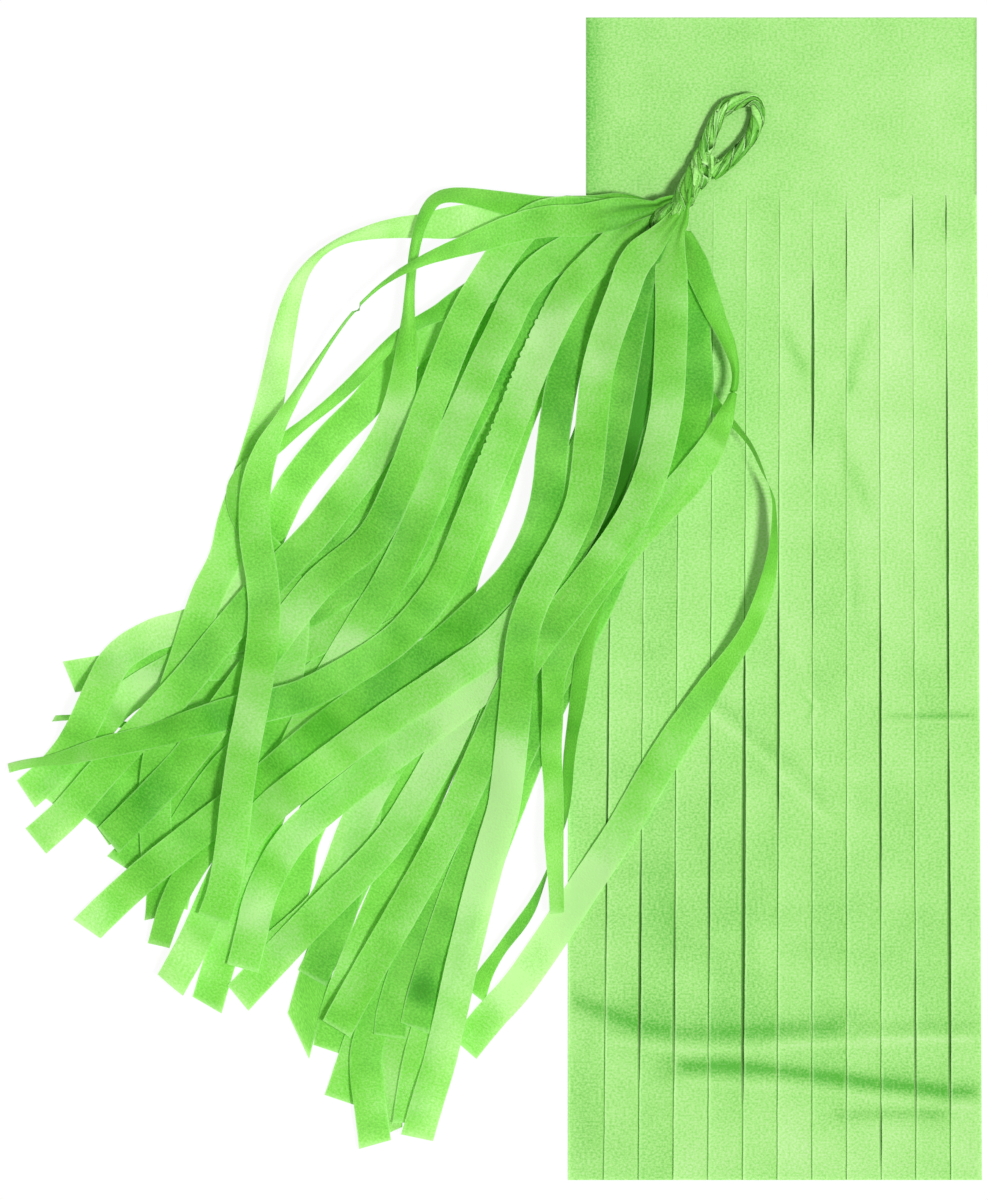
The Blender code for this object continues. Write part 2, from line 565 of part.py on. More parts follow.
# The flat sheet is in the pile before the first tongue of the tassel is laid on it
def lay_sheet_under(pile):
    x = pile.low[0] + np.arange(pile.height.shape[0]) * pile.cell
    y = pile.low[1] + np.arange(pile.height.shape[1]) * pile.cell
    gx, gy = np.meshgrid(x, y, indexing="ij")
    down = np.clip(-gy / STRIP_LENGTH, 0.0, 1.0)
    first = -OUTER_LEAN * np.minimum(down / OUTER_LEAN_SHARE, 1.0)
    last = SHEET_WIDTH + tongue_shift(STRIPS_ACROSS - 1) * down
    covered = (gx >= first) & (gx <= last) & (gy >= -STRIP_LENGTH) & (gy <= BAND_LENGTH)
    pile.height[covered] = SHEET_TOP_Z


# Where the rolled band ends: a block with the roots' face in front and the neck behind
def build_gathered_root(strips, material):
    bottom = min(s.z[0] for s in strips) - PLY / 2
    top = max(s.z[0] for s in strips) + PLY / 2
    middle = sheet_point(*ROOT_FACE_PX) - face_heading() * STRIP_GAP
    along = face_line() * ROOT_COLUMNS * ROOT_PITCH / 2
    axis = neck_axis()
    across = np.array((-axis[1], axis[0])) * NECK_HALF_WIDTHS_PX[-1] * BAND_PIXEL
    back = band_point(*NECK_ROUTE_PX[-1]) + axis * STRIP_GAP
    outline = [middle + along, back + across, back - across, middle - along]
    centre = np.mean(outline, axis=0)
    rings = []
    for z, inset in ((bottom, ROOT_CHAMFER), (bottom + ROOT_CHAMFER, 0.0),
                     (top - ROOT_CHAMFER, 0.0), (top, ROOT_CHAMFER)):
        pulls = [(centre - corner) / np.linalg.norm(centre - corner) * inset
                 for corner in outline]
        rings.append([(*(corner + pull), z) for corner, pull in zip(outline, pulls)])
    add_piece("gathered_root", bridged(rings), material)
    return bottom, top


def neck_axis():
    start, end = band_point(*NECK_ROUTE_PX[-2]), band_point(*NECK_ROUTE_PX[-1])
    return (end - start) / np.linalg.norm(end - start)


# One ring of twisted tissue: a flattened round with shallow lobes that turn with it
def twisted_ring(middle, side, half, high, sides, turn):
    ring = []
    for k in range(sides):
        angle = 2 * math.pi * k / sides
        crest = (1 + math.cos(ROPE_LOBES * (angle + turn))) / 2
        width = 1 - ROPE_LOBE_SHARE * crest
        offset = np.array((*(side * half * math.cos(angle)), high * math.sin(angle)))
        ring.append(np.array(middle) + offset * width)
    return ring


def sideways(ahead):
    return np.array((-ahead[1], ahead[0])) / np.hypot(ahead[0], ahead[1])


# The twisted neck, from the fork of the loop down to the gathered root
def build_neck(bottom, top, material):
    rows = [(*band_point(*place), half * BAND_PIXEL)
            for place, half in zip(NECK_ROUTE_PX, NECK_HALF_WIDTHS_PX)]
    route = evenly_picked(smooth_rows(rows, NECK_RINGS), NECK_RINGS)
    rings = []
    for i, (x, y, half) in enumerate(route):
        share = i / (NECK_RINGS - 1)
        ahead = route[min(i + 1, NECK_RINGS - 1)] - route[max(i - 1, 0)]
        z = FORK_Z + ((bottom + top) / 2 - FORK_Z) * share
        high = ROPE_RADIUS + ((top - bottom) / 2 - ROPE_RADIUS) * share
        rings.append(twisted_ring((x, y, z), sideways(ahead), half, high, NECK_SIDES,
                                  2 * math.pi * NECK_TURNS * share))
    add_piece("twisted_neck", bridged(rings), material, smooth=True)


# The hanging loop: a rope of twisted band, out of the neck's fork and back into it
def build_loop(material):
    axis = neck_axis()
    path = smooth_rows([band_point(*place) for place in LOOP_ROUTE_PX], SAMPLES_PER_STEP)
    path = evenly_picked(path, ROPE_RINGS)
    path[[0, -1]] -= axis * STRIP_GAP
    rings = []
    for i, (x, y) in enumerate(path):
        share = i / (ROPE_RINGS - 1)
        ahead = path[min(i + 1, ROPE_RINGS - 1)] - path[max(i - 1, 0)]
        ahead = {0: -axis, ROPE_RINGS - 1: axis}.get(i, ahead)
        rings.append(twisted_ring((x, y, FORK_Z), sideways(ahead), ROPE_RADIUS, ROPE_RADIUS,
                                  ROPE_SIDES, 2 * math.pi * ROPE_TURNS * share))
    add_piece("twisted_loop", bridged(rings), material, smooth=True)


# The origin goes to the middle of the whole part's footprint, on the table
def centre_part():
    corners = []
    for piece in bpy.context.scene.collection.objects:
        points = np.array([v.co for v in piece.data.vertices]) + np.array(piece.location)
        corners += [points.min(axis=0), points.max(axis=0)]
    low, high = np.min(corners, axis=0), np.max(corners, axis=0)
    middle = (low + high) / 2
    for piece in bpy.context.scene.collection.objects:
        piece.location.x -= middle[0]
        piece.location.y -= middle[1]


def build():
    clear_scene()
    sheet_tissue = tissue("flat_tissue", TISSUE_GREEN)
    strip_tissue = tissue("tassel_tissue", TISSUE_GREEN)
    twist_tissue = tissue("twisted_tissue", SHADED_GREEN)
    build_back_ply(sheet_tissue)
    build_band(sheet_tissue)
    build_front_strips(sheet_tissue)
    strips = build_tassel_strips(strip_tissue)
    bottom, top = build_gathered_root(strips, twist_tissue)
    build_neck(bottom, top, twist_tissue)
    build_loop(twist_tissue)
    centre_part()


build()
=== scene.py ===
import json
import math

import bmesh
import bpy
import numpy as np
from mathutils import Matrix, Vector
from mathutils.bvhtree import BVHTree


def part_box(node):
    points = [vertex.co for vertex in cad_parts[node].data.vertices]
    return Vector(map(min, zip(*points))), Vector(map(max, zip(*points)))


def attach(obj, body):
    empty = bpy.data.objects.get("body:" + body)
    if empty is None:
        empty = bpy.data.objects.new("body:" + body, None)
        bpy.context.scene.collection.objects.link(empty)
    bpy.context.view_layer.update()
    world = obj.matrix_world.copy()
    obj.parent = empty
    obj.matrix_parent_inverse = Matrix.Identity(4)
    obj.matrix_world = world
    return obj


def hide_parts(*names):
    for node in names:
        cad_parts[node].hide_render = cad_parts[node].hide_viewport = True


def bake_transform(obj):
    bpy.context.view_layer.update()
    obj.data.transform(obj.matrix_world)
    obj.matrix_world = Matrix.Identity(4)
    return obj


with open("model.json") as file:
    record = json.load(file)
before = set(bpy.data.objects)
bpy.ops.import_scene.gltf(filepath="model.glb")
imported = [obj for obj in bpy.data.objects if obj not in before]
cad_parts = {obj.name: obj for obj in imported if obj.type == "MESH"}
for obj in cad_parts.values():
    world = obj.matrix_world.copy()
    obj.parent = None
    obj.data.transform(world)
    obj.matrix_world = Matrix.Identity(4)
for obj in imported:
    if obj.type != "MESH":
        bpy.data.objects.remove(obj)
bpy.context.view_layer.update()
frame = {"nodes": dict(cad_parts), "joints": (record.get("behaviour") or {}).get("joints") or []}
bpy.ops.object.select_all(action="DESELECT")

mm = 0.001
strips = sorted(n for n in frame["nodes"] if n.startswith("tassel_strip_"))
tongues = sorted(n for n in frame["nodes"] if n.startswith("sheet_strip_"))
hinges = {j["child"]: j for j in frame["joints"]}
headLine = np.array(hinges[strips[0]]["axis"])  # along the roots, so the fan leaves across it
headOut = np.array((-headLine[1], headLine[0], 0.0))
headLow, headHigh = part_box("gathered_root")
print("frame loaded:", len(strips), "tassel strips,", len(tongues), "sheet strips")

# places are noted as in the picture: one of them, where it lies on the table in mm, and mm per step
picture = {"place": (586, 195), "table": (27.21, 121.5), "scale": 0.30102, "size": (988, 1200)}
photoStep = picture["scale"] * mm


def fromPhoto(px, py):
    (x, y), scale = picture["table"], picture["scale"]
    return np.array((x + (px - picture["place"][0]) * scale, y + (picture["place"][1] - py) * scale)) * mm


# small helpers for paper, which is all that this part is made of

def softStep(share):
    share = np.clip(share, 0.0, 1.0)
    return share * share * (3.0 - 2.0 * share)


def hump(off):  # 1 in the middle, and next to nothing from 2 on
    return np.exp(-off ** 2)


def smoothRows(rows, steps):  # a smooth curve through every row
    padded = np.vstack((rows[:1], rows, rows[-1:]))
    drawn = []
    for a, b, c, d in zip(padded, padded[1:], padded[2:], padded[3:]):
        for t in np.arange(steps) / steps:
            drawn.append(0.5 * (2 * b + (c - a) * t + (2 * a - 5 * b + 4 * c - d) * t ** 2
                                + (3 * b - a - 3 * c + d) * t ** 3))
    drawn.append(rows[-1])
    return np.array(drawn)


def smoothed(values, reach):  # each value blended with those within reach
    weights = np.hanning(2 * reach + 3)[1:-1]
    return np.convolve(np.pad(values, reach, mode="edge"), weights / weights.sum(), mode="valid")


def lengthAlong(rows):
    steps = np.linalg.norm(np.diff(rows, axis=0), axis=1)
    return np.concatenate(([0.0], np.cumsum(steps)))


def evenRows(rows, count):
    run = lengthAlong(rows[:, :3])
    wanted = np.linspace(0.0, run[-1], count)
    return np.column_stack([np.interp(wanted, run, column) for column in rows.T])


# slow waves along a line, about -1 to 1, with a seed of their own wherever they are used
def ripple(seed, along, lengths):
    pick = np.random.default_rng(seed)
    total = np.zeros(np.shape(along))
    for length in lengths:
        start = pick.uniform(0, 2 * math.pi)
        total += np.sin(along / length * 2 * math.pi + start) * pick.uniform(0.5, 1)
    return total / len(lengths)


def unit(rows):
    return rows / np.maximum(np.linalg.norm(rows, axis=-1, keepdims=True), 1e-9)


def rimMark(share, reach):  # 1 at both sides of a sheet, and 0 from `reach` inwards
    return np.clip(1.0 - np.minimum(share, 1.0 - share) / reach, 0.0, 1.0)


# rows by columns of points, with paper coordinates and marks for the material
def skin(name, grid, paper, marks, material, ring=False):
    rows, columns = grid.shape[:2]
    faces = []
    for i in range(rows - 1):
        here, after = i * columns, (i + 1) * columns
        for j in range(columns if ring else columns - 1):
            k = (j + 1) % columns
            faces.append((here + j, here + k, after + k, after + j))
    if ring:
        faces.append(tuple(reversed(range(columns))))
        faces.append(tuple((rows - 1) * columns + j for j in range(columns)))
    mesh = bpy.data.meshes.new(name)
    mesh.from_pydata(grid.reshape(-1, 3).tolist(), [], faces)
    corners = [corner for face in faces for corner in face]
    mesh.uv_layers.new(name="paper").data.foreach_set("uv", paper.reshape(-1, 2)[corners].ravel())
    for mark, values in marks.items():
        attribute = mesh.attributes.new(mark, "FLOAT", "POINT")
        spread = np.broadcast_to(values, (rows, columns)).astype(np.float32)
        attribute.data.foreach_set("value", spread.ravel())
    mesh.materials.append(material)
    mesh.shade_smooth()
    piece = bpy.data.objects.new(name, mesh)
    bpy.context.scene.collection.objects.link(piece)
    if ring:
        whole = bmesh.new()
        whole.from_mesh(mesh)
        bmesh.ops.recalc_face_normals(whole, faces=whole.faces)
        whole.to_mesh(mesh)
        whole.free()
    return piece


# materials: one kind of tissue, laid flat, hanging loose or twisted tight

fibre = {"grainSize": 0.62 * mm, "cloudSize": 12 * mm, "stretch": 0.75, "contrast": 4.0}


# a node gets numbers, colours or what other nodes put out
def fill(node, inputs):
    for name, value in inputs.items():
        socket = node.inputs[name]
        if isinstance(value, bpy.types.NodeSocket):
            node.id_data.links.new(value, socket)
        else:
            socket.default_value = (*value, 1.0) if socket.type == "RGBA" else value


def add(tree, kind, inputs, **settings):
    node = tree.nodes.new("ShaderNode" + kind)
    for name, value in settings.items():
        setattr(node, name, value)
    fill(node, inputs)
    return node


def newMaterial(name):
    material = bpy.data.materials.new(name)
    material.use_nodes = True
    tree = material.node_tree
    return material, tree, tree.nodes["Principled BSDF"], tree.nodes["Material Output"]


def buildFibreGroup():
    group = bpy.data.node_groups.new("tissueFibre", "ShaderNodeTree")
    for name, kind in (("Paper", "Vector"), ("Grain Scale", "Float"), ("Cloud Scale", "Float")):
        group.interface.new_socket(name=name, in_out="INPUT", socket_type="NodeSocket" + kind)
    for name in ("Grain", "Cloud"):
        group.interface.new_socket(name=name, in_out="OUTPUT", socket_type="NodeSocketFloat")
    start = group.nodes.new("NodeGroupInput").outputs
    end = group.nodes.new("NodeGroupOutput")
    # fibres lie along the sheet's width
    spun = add(group, "VectorMath", {0: start["Paper"], 1: (fibre["stretch"], 1.0, 1.0)}, operation="MULTIPLY")
    for name, detail in (("Grain", 2.0), ("Cloud", 1.0)):
        noise = {"Detail": detail, "Vector": spun.outputs["Vector"], "Scale": start[name + " Scale"]}
        noise = add(group, "TexNoise", noise, noise_dimensions="2D").outputs["Fac"]
        spread = {0: noise, 1: fibre["contrast"], 2: -fibre["contrast"] / 2}
        fill(end, {name: add(group, "Math", spread, operation="MULTIPLY_ADD").outputs[0]})
    return group


fibreGroup = buildFibreGroup()
plainTone = 0.5  # the place of the middle green, between the deep one at 0 and the pale one at 1


def tissue(name, look):
    material, tree, shader, output = newMaterial(name)
    grain = add(tree, "Group", {}, node_tree=fibreGroup)
    fill(grain, {"Paper": add(tree, "UVMap", {}, uv_map="paper").outputs["UV"],
                 "Grain Scale": mm / fibre["grainSize"], "Cloud Scale": mm / fibre["cloudSize"]})

    def mark(called):
        return add(tree, "Attribute", {}, attribute_name=called).outputs["Fac"]

    def sums(first, times, plus):
        return add(tree, "Math", {0: first, 1: times, 2: plus}, operation="MULTIPLY_ADD").outputs[0]

    def blendColours(share, first, second):
        return add(tree, "Mix", {"Factor": share, 6: first, 7: second}, data_type="RGBA").outputs[2]

    # the tone mark moves each point between deep and pale green: partly the paper's own uneven tone, partly painted
    # light and shade; the fold mark paints shade in a dark green, and the mark on edges paints highlights in a pale
    # one
    tone = sums(grain.outputs["Grain"], look["grain"], plainTone)
    tone = sums(grain.outputs["Cloud"], look["cloud"], tone)
    tone = sums(mark("tone"), look["toneShare"], tone)
    ramp = add(tree, "ValToRGB", {"Fac": tone})
    ramp.color_ramp.elements[0].color = (*look["deep"], 1)
    ramp.color_ramp.elements[1].color = (*look["pale"], 1)
    ramp.color_ramp.elements.new(plainTone).color = (*look["middle"], 1)
    colour = blendColours(mark("fold"), ramp.outputs["Color"], look["fold"])
    colour = blendColours(sums(mark("edgeHighlight"), look["highlightShare"], 0.0), colour, look["edgeHighlight"])
    bump = add(tree, "Bump", {"Strength": look["crumple"], "Distance": look["crumpleDepth"],
                              "Height": grain.outputs["Grain"]})
    fill(shader, {"Roughness": look["roughness"], "Base Color": colour, "Normal": bump.outputs["Normal"],
                  "Specular IOR Level": sums(mark("fold"), -look["gloss"], look["gloss"])})
    if look["through"] > 0.0:  # the share of the light that comes through from behind
        behind = add(tree, "BsdfTranslucent", {"Color": blendColours(look["litShare"], colour, look["lit"])})
        both = {"Fac": look["through"], 1: shader.outputs["BSDF"], 2: behind.outputs["BSDF"]}
        fill(output, {"Surface": add(tree, "MixShader", both).outputs["Shader"]})
    return material


# deep, middle and pale are the greens that the tone mark paints light and shade between; fold is the dark green of
# painted shade, the edge colour the pale green of painted highlights; lit is the green of light that comes through
looseLook = {
    "deep": (0.070, 0.42, 0.018), "middle": (0.25, 0.76, 0.085), "pale": (0.58, 0.92, 0.38),
    "fold": (0.018, 0.12, 0.004), "edgeHighlight": (0.60, 0.96, 0.42), "highlightShare": 0.65,
    "lit": (0.56, 0.93, 0.30), "litShare": 0.5, "through": 0.42,
    "grain": 0.17, "cloud": 0.13, "toneShare": 0.42,
    "roughness": 0.5, "gloss": 0.25, "crumple": 0.8, "crumpleDepth": 0.03 * mm,
}
flatLook = dict(looseLook, deep=(0.10, 0.50, 0.035), middle=(0.39, 0.79, 0.215), pale=(0.66, 0.91, 0.46),
                fold=(0.012, 0.08, 0.003), grain=0.20, cloud=0.05, through=0.25)
twistLook = dict(looseLook, through=0.0, deep=(0.04, 0.25, 0.010), middle=(0.16, 0.53, 0.055),
                 pale=(0.44, 0.88, 0.26), fold=(0.008, 0.05, 0.002), highlightShare=0.8, grain=0.12, cloud=0.05)
looseTissue = tissue("looseTissue", looseLook)
flatTissue = tissue("flatTissue", flatLook)
twistTissue = tissue("twistTissue", twistLook)
print("materials made")


# the flat sheet: a front ply of band and tongues, and a back ply behind them

sheet = {
    "frontHeight": 0.675 * mm, "backHeight": 0.125 * mm, "backTop": 0.4 * mm, "rows": 190, "backRows": 200,
    # a tongue's raised sides and waves, and how it keeps clear of the tassel
    "edgeLift": 0.38 * mm, "edgeReach": 0.13, "waveHeight": 0.16 * mm, "settle": 10 * mm,
    "lookUp": 2.2 * mm, "clear": 0.22 * mm,
    # cuts: how much wider the solids' gaps are, a cut's least width, and how it varies and wanders
    "widen": 0.2 * mm, "leastCut": 0.08 * mm, "looseCut": 0.12 * mm, "wander": 0.09 * mm, "openShape": 0.8,
    # painted highlights along a tongue's sides: middle and half width across a tongue, how pale, how that varies,
    # seed
    "sideHighlights": ((0.040, 0.016, 0.65, 0.5, 400), (0.965, 0.016, 0.15, 0.6, 430)),
    # the paper's own tone by tongue and in waves; how much deeper green and painted shade a crease takes, partly from
    # paper laid double; how deep it may dip
    "toneByTongue": 0.10, "toneWaves": 0.12, "creaseTone": 1.15, "creaseShade": 0.10, "mostDip": 0.35 * mm,
    # a crease is a sharp line on a soft one, of this share and this much wider, and it fades at its ends
    "softShare": 0.4, "softTimes": 2.4, "creaseDeep": 0.95, "lineFade": 7 * mm, "lineEnd": 0.25,
    # cut number, where it stands open in the picture from top to bottom, and how wide in mm
    "openCuts": (
        (1, 560, 1010, 0.34), (2, 830, 1090, 0.48), (3, 860, 1090, 0.3), (4, 700, 990, 0.42), (5, 620, 1110, 0.95),
        (6, 560, 850, 0.55), (7, 262, 462, 0.85), (7, 520, 640, 0.3), (8, 196, 300, 0.28), (9, 560, 930, 0.5),
        (9, 1100, 1170, 0.26), (10, 192, 275, 0.4), (10, 930, 1130, 0.26), (11, 190, 246, 0.36), (11, 330, 760, 0.6),
        (11, 700, 1130, 0.66)),
    # cut number, from where to where it is nearly closed, and the share that stays
    "shutCuts": (
        (1, 830, 1200, 0.5), (2, 640, 790, 0.4), (3, 640, 850, 0.3), (4, 1000, 1200, 0.4), (6, 870, 1200, 0.25),
        (7, 480, 1200, 0.15), (8, 300, 1200, 0.5), (9, 930, 1200, 0.4), (10, 280, 560, 0.3), (2, 1080, 1200, 0.3),
        (3, 1080, 1200, 0.3), (11, 1115, 1200, 0.5)),
    # soft creases: line, half width and depth in mm, and how much deeper the green is, partly from paper laid double
    # and partly painted shade
    "creases": (
        (((566, 998), (600, 1010), (642, 1027), (683, 1033), (757, 1031), (793, 1029), (850, 1026)), 2.3, 0.55, 0.8),
        (((840, 1027), (982, 1026)), 2, 0.25, 0.3),
        (((672, 1066), (724, 1066), (757, 1068), (793, 1072), (834, 1077), (875, 1083), (916, 1087),
          (952, 1092), (982, 1091)), 1.7, 0.6, 1.1),
        (((826, 1116), (880, 1114), (950, 1114)), 1.5, 0.3, 0.5),
        (((880, 719), (930, 716), (977, 716)), 0.7, 0.25, 0.55), (((843, 425), (849, 520), (858, 620)), 1, 0.2, 0.25),
        (((700, 690), (730, 712), (760, 742)), 1.3, 0.25, 0.28),
        (((752, 735), (800, 770), (830, 812)), 1.2, 0.22, 0.25), (((868, 190), (911, 199)), 0.35, 0.1, 0.35)),
    # painted highlights and shade along folds: line, half width in mm, amount (paler above 0, deeper below)
    "litAndShadedLines": (
        (((760, 1047), (834, 1043), (944, 1039), (982, 1040)), 1.2, 0.55),
        (((600, 1040), (680, 1050), (757, 1049)), 1.4, 0.35),
        (((678, 1081), (793, 1088), (875, 1098), (952, 1106), (982, 1106)), 1.3, 0.35),
        (((700, 705), (760, 755), (830, 825)), 1.2, 0.3), (((880, 724), (977, 721)), 0.7, 0.35),
        (((796, 684), (812, 706), (806, 730)), 0.6, -0.4), (((800, 682), (816, 704), (811, 730)), 0.5, 0.4),
        (((812, 752), (818, 772), (836, 790)), 0.5, 0.45), (((815, 756), (821, 777), (838, 794)), 0.5, -0.35),
        (((828, 800), (842, 812), (846, 800)), 0.5, 0.4), (((786, 640), (800, 656), (806, 676)), 0.7, 0.3),
        (((838, 690), (850, 700), (842, 715)), 0.6, 0.35), (((843, 694), (854, 705)), 0.5, -0.3),
        (((782, 322), (796, 356), (811, 384)), 2.3, -0.42), (((876, 312), (858, 350), (849, 398)), 2.2, -0.5),
        (((850, 458), (860, 486), (873, 520)), 2, -0.42), (((764, 250), (774, 310)), 2, -0.2),
        (((789, 340), (807, 372)), 1, -0.3), (((852, 356), (849, 400)), 0.9, -0.4)),
    # broad patches of painted light and shade, paler or deeper: middle and reach in the picture, amount
    "litAndShadedPatches": (
        (588, 80, 14, 150, -0.75), (640, 150, 60, 60, -0.1), (885, 300, 90, 160, 0.45), (905, 520, 60, 120, 0.3),
        (930, 90, 60, 60, 0.18), (770, 520, 20, 120, 0.25), (735, 240, 30, 60, 0.2), (670, 900, 90, 120, -0.3),
        (740, 960, 50, 60, -0.12), (620, 1150, 50, 40, -0.2), (585, 1120, 14, 60, -0.25), (800, 1150, 150, 34, 0.3),
        (830, 900, 40, 60, -0.15), (905, 950, 70, 60, -0.12), (700, 1010, 70, 16, -0.25), (830, 800, 26, 40, 0.22),
        (860, 796, 12, 14, -0.22), (765, 940, 12, 26, 0.35), (690, 560, 30, 60, 0.15), (640, 560, 40, 50, -0.1)),
}
bandLow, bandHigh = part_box("header_band")
sheetLeft, sheetRight = bandLow.x, bandHigh.x
cutLine, foldLine = bandLow.y, bandHigh.y


# how far each point is from a line in the picture, and a share that fades at the line's ends
def offLine(x, y, line):
    points = np.array([fromPhoto(*p) for p in line])
    best = np.full(np.shape(x), np.inf)
    for a, b in zip(points, points[1:]):
        along = b - a
        share = np.clip(((x - a[0]) * along[0] + (y - a[1]) * along[1]) / (along @ along), 0, 1)
        best = np.minimum(best, np.hypot(x - a[0] - share * along[0], y - a[1] - share * along[1]))
    ends = np.min([np.hypot(x - end[0], y - end[1]) for end in (points[0], points[-1])], axis=0)
    return best, softStep(ends / sheet["lineFade"] + sheet["lineEnd"])


# height, crease darkening (paper laid double and painted shade) and painted light and shade of the whole sheet's
# creases, lines and patches
def creaseField(x, y):
    height, layersAndShade, tone = np.zeros(np.shape(x)), np.zeros(np.shape(x)), np.zeros(np.shape(x))
    soft, times = sheet["softShare"], sheet["softTimes"]
    for line, half, depth, dark in sheet["creases"]:
        off, fade = offLine(x, y, line)
        shape = ((1 - soft) * hump(off / (half * mm)) + soft * hump(off / (times * half * mm))) * fade
        height = height - depth * mm * shape
        layersAndShade = np.maximum(layersAndShade, sheet["creaseDeep"] * dark * shape)
    for line, half, light in sheet["litAndShadedLines"]:
        off, fade = offLine(x, y, line)
        tone = tone + light * hump(off / (half * mm)) * fade
    for px, py, wide, tall, amount in sheet["litAndShadedPatches"]:
        at = fromPhoto(px, py)
        tone = tone + amount * hump((x - at[0]) / (wide * photoStep)) * hump((y - at[1]) / (tall * photoStep))
    return height, layersAndShade, tone


# a search tree of the tassel's solids, and the strip that each face belongs to
def stripsAbove():
    corners, faces, owners = [], [], []
    for number, node in enumerate(strips):
        mesh = frame["nodes"][node].data
        first = len(corners)
        corners += [v.co.copy() for v in mesh.vertices]
        faces += [[first + i for i in p.vertices] for p in mesh.polygons]
        owners += [number] * len(mesh.polygons)
    return BVHTree.FromPolygons(corners, faces), owners


stack, stackOwners = stripsAbove()


# z held down wherever a tassel strip lies on the sheet
def underStrips(x, y, z):
    flat = z.copy()
    for at in np.ndindex(z.shape):
        hit = stack.ray_cast(Vector((x[at], y[at], 0.0)), Vector((0, 0, 1)), sheet["lookUp"])[0]
        if hit is not None:
            flat[at] = min(flat[at], hit.z - sheet["clear"])
    return flat


def openWidth(cut, y):  # how wide a cut stands open at y, beyond what every cut does
    wide = np.zeros(np.shape(y))
    for which, top, bottom, width in sheet["openCuts"]:
        if which == cut:
            high, low = fromPhoto(0, top)[1], fromPhoto(0, bottom)[1]
            share = np.clip((high - y) / (high - low), 0, 1)
            wide = np.maximum(wide, width * mm * np.sin(math.pi * share) ** sheet["openShape"])
    return wide


# how wide a cut between two tongues is, and how far it wanders to the right
def cutShape(cut, y, down):
    gap = sheet["leastCut"] + sheet["looseCut"] * np.clip(ripple(140 + cut, y, (0.017, 0.041, 0.09)), -0.6, 1)
    for which, top, bottom, stays in sheet["shutCuts"]:
        if which == cut:
            inside = (y < fromPhoto(0, top)[1]) & (y > fromPhoto(0, bottom)[1])
            gap = np.where(inside, gap * stays, gap)
    wander = sheet["wander"] * ripple(100 + cut, y, (0.009, 0.021, 0.05)) * softStep(down / (4 * mm))
    return gap * softStep(down / (2 * mm)) + openWidth(cut, y), wander


# left and right edge of a cut tongue, from the root down, as the solid has them
def tongueEdges(node, count):
    points = np.array(sorted({(round(v.co.x, 6), round(v.co.y, 6)) for v in frame["nodes"][node].data.vertices}))
    right = points[-2:] if node != tongues[0] else points[np.argsort(points[:, 0])[-2:]]
    left = np.array([p for p in points if not any((p == q).all() for q in right)])
    y = np.linspace(cutLine, points[:, 1].min(), count)
    sides = []
    for side in (left, right):
        side = side[np.argsort(side[:, 1])]
        sides.append(np.interp(y, side[:, 1], side[:, 0]))
    return y, sides[0], sides[1]


def paperUv(x, y, seed):
    pick = np.random.default_rng(seed)
    return np.stack((x / mm + pick.uniform(0, 500), y / mm + pick.uniform(0, 500)), axis=-1)


def flatPiece(piece, node):
    if node in hinges:
        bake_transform(piece)
    else:
        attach(piece, "sheet")
    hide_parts(node)
    return piece


# where a tongue has its points, as shares of its width
across = np.array((0.0, 0.022, 0.042, 0.064, 0.12, 0.28, 0.5, 0.72, 0.88, 0.94, 0.962, 0.982, 1.0))


def buildTongue(number, node):
    y, left, right = tongueEdges(node, sheet["rows"])
    down = cutLine - y
    settle = softStep(down / sheet["settle"])
    if number > 0:
        gap, wander = cutShape(number, y, down)
        left = left - sheet["widen"] + gap / 2 + wander
    if number + 1 < len(tongues):
        gap, wander = cutShape(number + 1, y, down)
        right = right + sheet["widen"] - gap / 2 + wander
    x = left[:, None] + (right - left)[:, None] * across
    yy = np.broadcast_to(y[:, None], x.shape)
    z = sheet["frontHeight"] + np.zeros(x.shape)
    for seed, share in ((200 + number, across), (231 + number, 1 - across)):
        lift = sheet["edgeLift"] * (0.5 + 0.5 * ripple(seed, y, (0.05, 0.09, 0.17))) * settle
        z += lift[:, None] * np.exp(-share / sheet["edgeReach"])
    z += sheet["waveHeight"] * ripple(300 + number, yy + x * 0.4, (0.031, 0.057, 0.09)) * settle[:, None]
    height, layersAndShade, tone = creaseField(x, yy)
    dip = np.maximum(height, -sheet["mostDip"]) + sheet["mostDip"] * np.minimum(layersAndShade, 1)
    z += dip * settle[:, None]
    # painted highlights along the tongue's sides
    edgeHighlight = np.zeros(x.shape)
    for middle, half, pale, change, seed in sheet["sideHighlights"]:
        light = np.clip(pale + change * ripple(seed + number, y, (0.03, 0.07)), 0, 1)
        edgeHighlight += hump((across - middle) / half) * light[:, None]
    # the tongue's own tone, by tongue and in waves, made deeper where creases hold painted shade
    tone = tone + sheet["toneByTongue"] * math.sin(number * 2.4) - sheet["creaseTone"] * layersAndShade
    tone = tone + sheet["toneWaves"] * ripple(500 + number, y, (0.04, 0.08))[:, None]
    grid = np.stack((x, yy, underStrips(x, yy, z)), axis=-1)
    marks = {"edgeHighlight": np.clip(edgeHighlight, 0, 1) * (down > 1 * mm)[:, None], "fold": sheet["creaseShade"] * layersAndShade, "tone": tone}
    piece = skin(f"tongue_{number + 1:02d}", grid, paperUv(x, yy, 1), marks, flatTissue)
    return flatPiece(piece, node)


# the uncut band of the front ply, rolled over the fold and down to the back ply

# the fold's shape and waves, painted shade along the band's sides, a painted highlight along the rolled fold, and how
# much deeper the creases are
fold = {"start": 0.55 * mm, "reach": 0.5 * mm, "foot": 0.08 * mm, "flatFrom": 6 * mm, "rows": 40, "columns": 90,
        "waves": (0.12 * mm, 0.08 * mm), "sideShare": 0.004, "sideShade": 0.35, "edgeHighlight": 0.8, "highlightReach": 0.3 * mm,
        "creaseTone": 0.8}


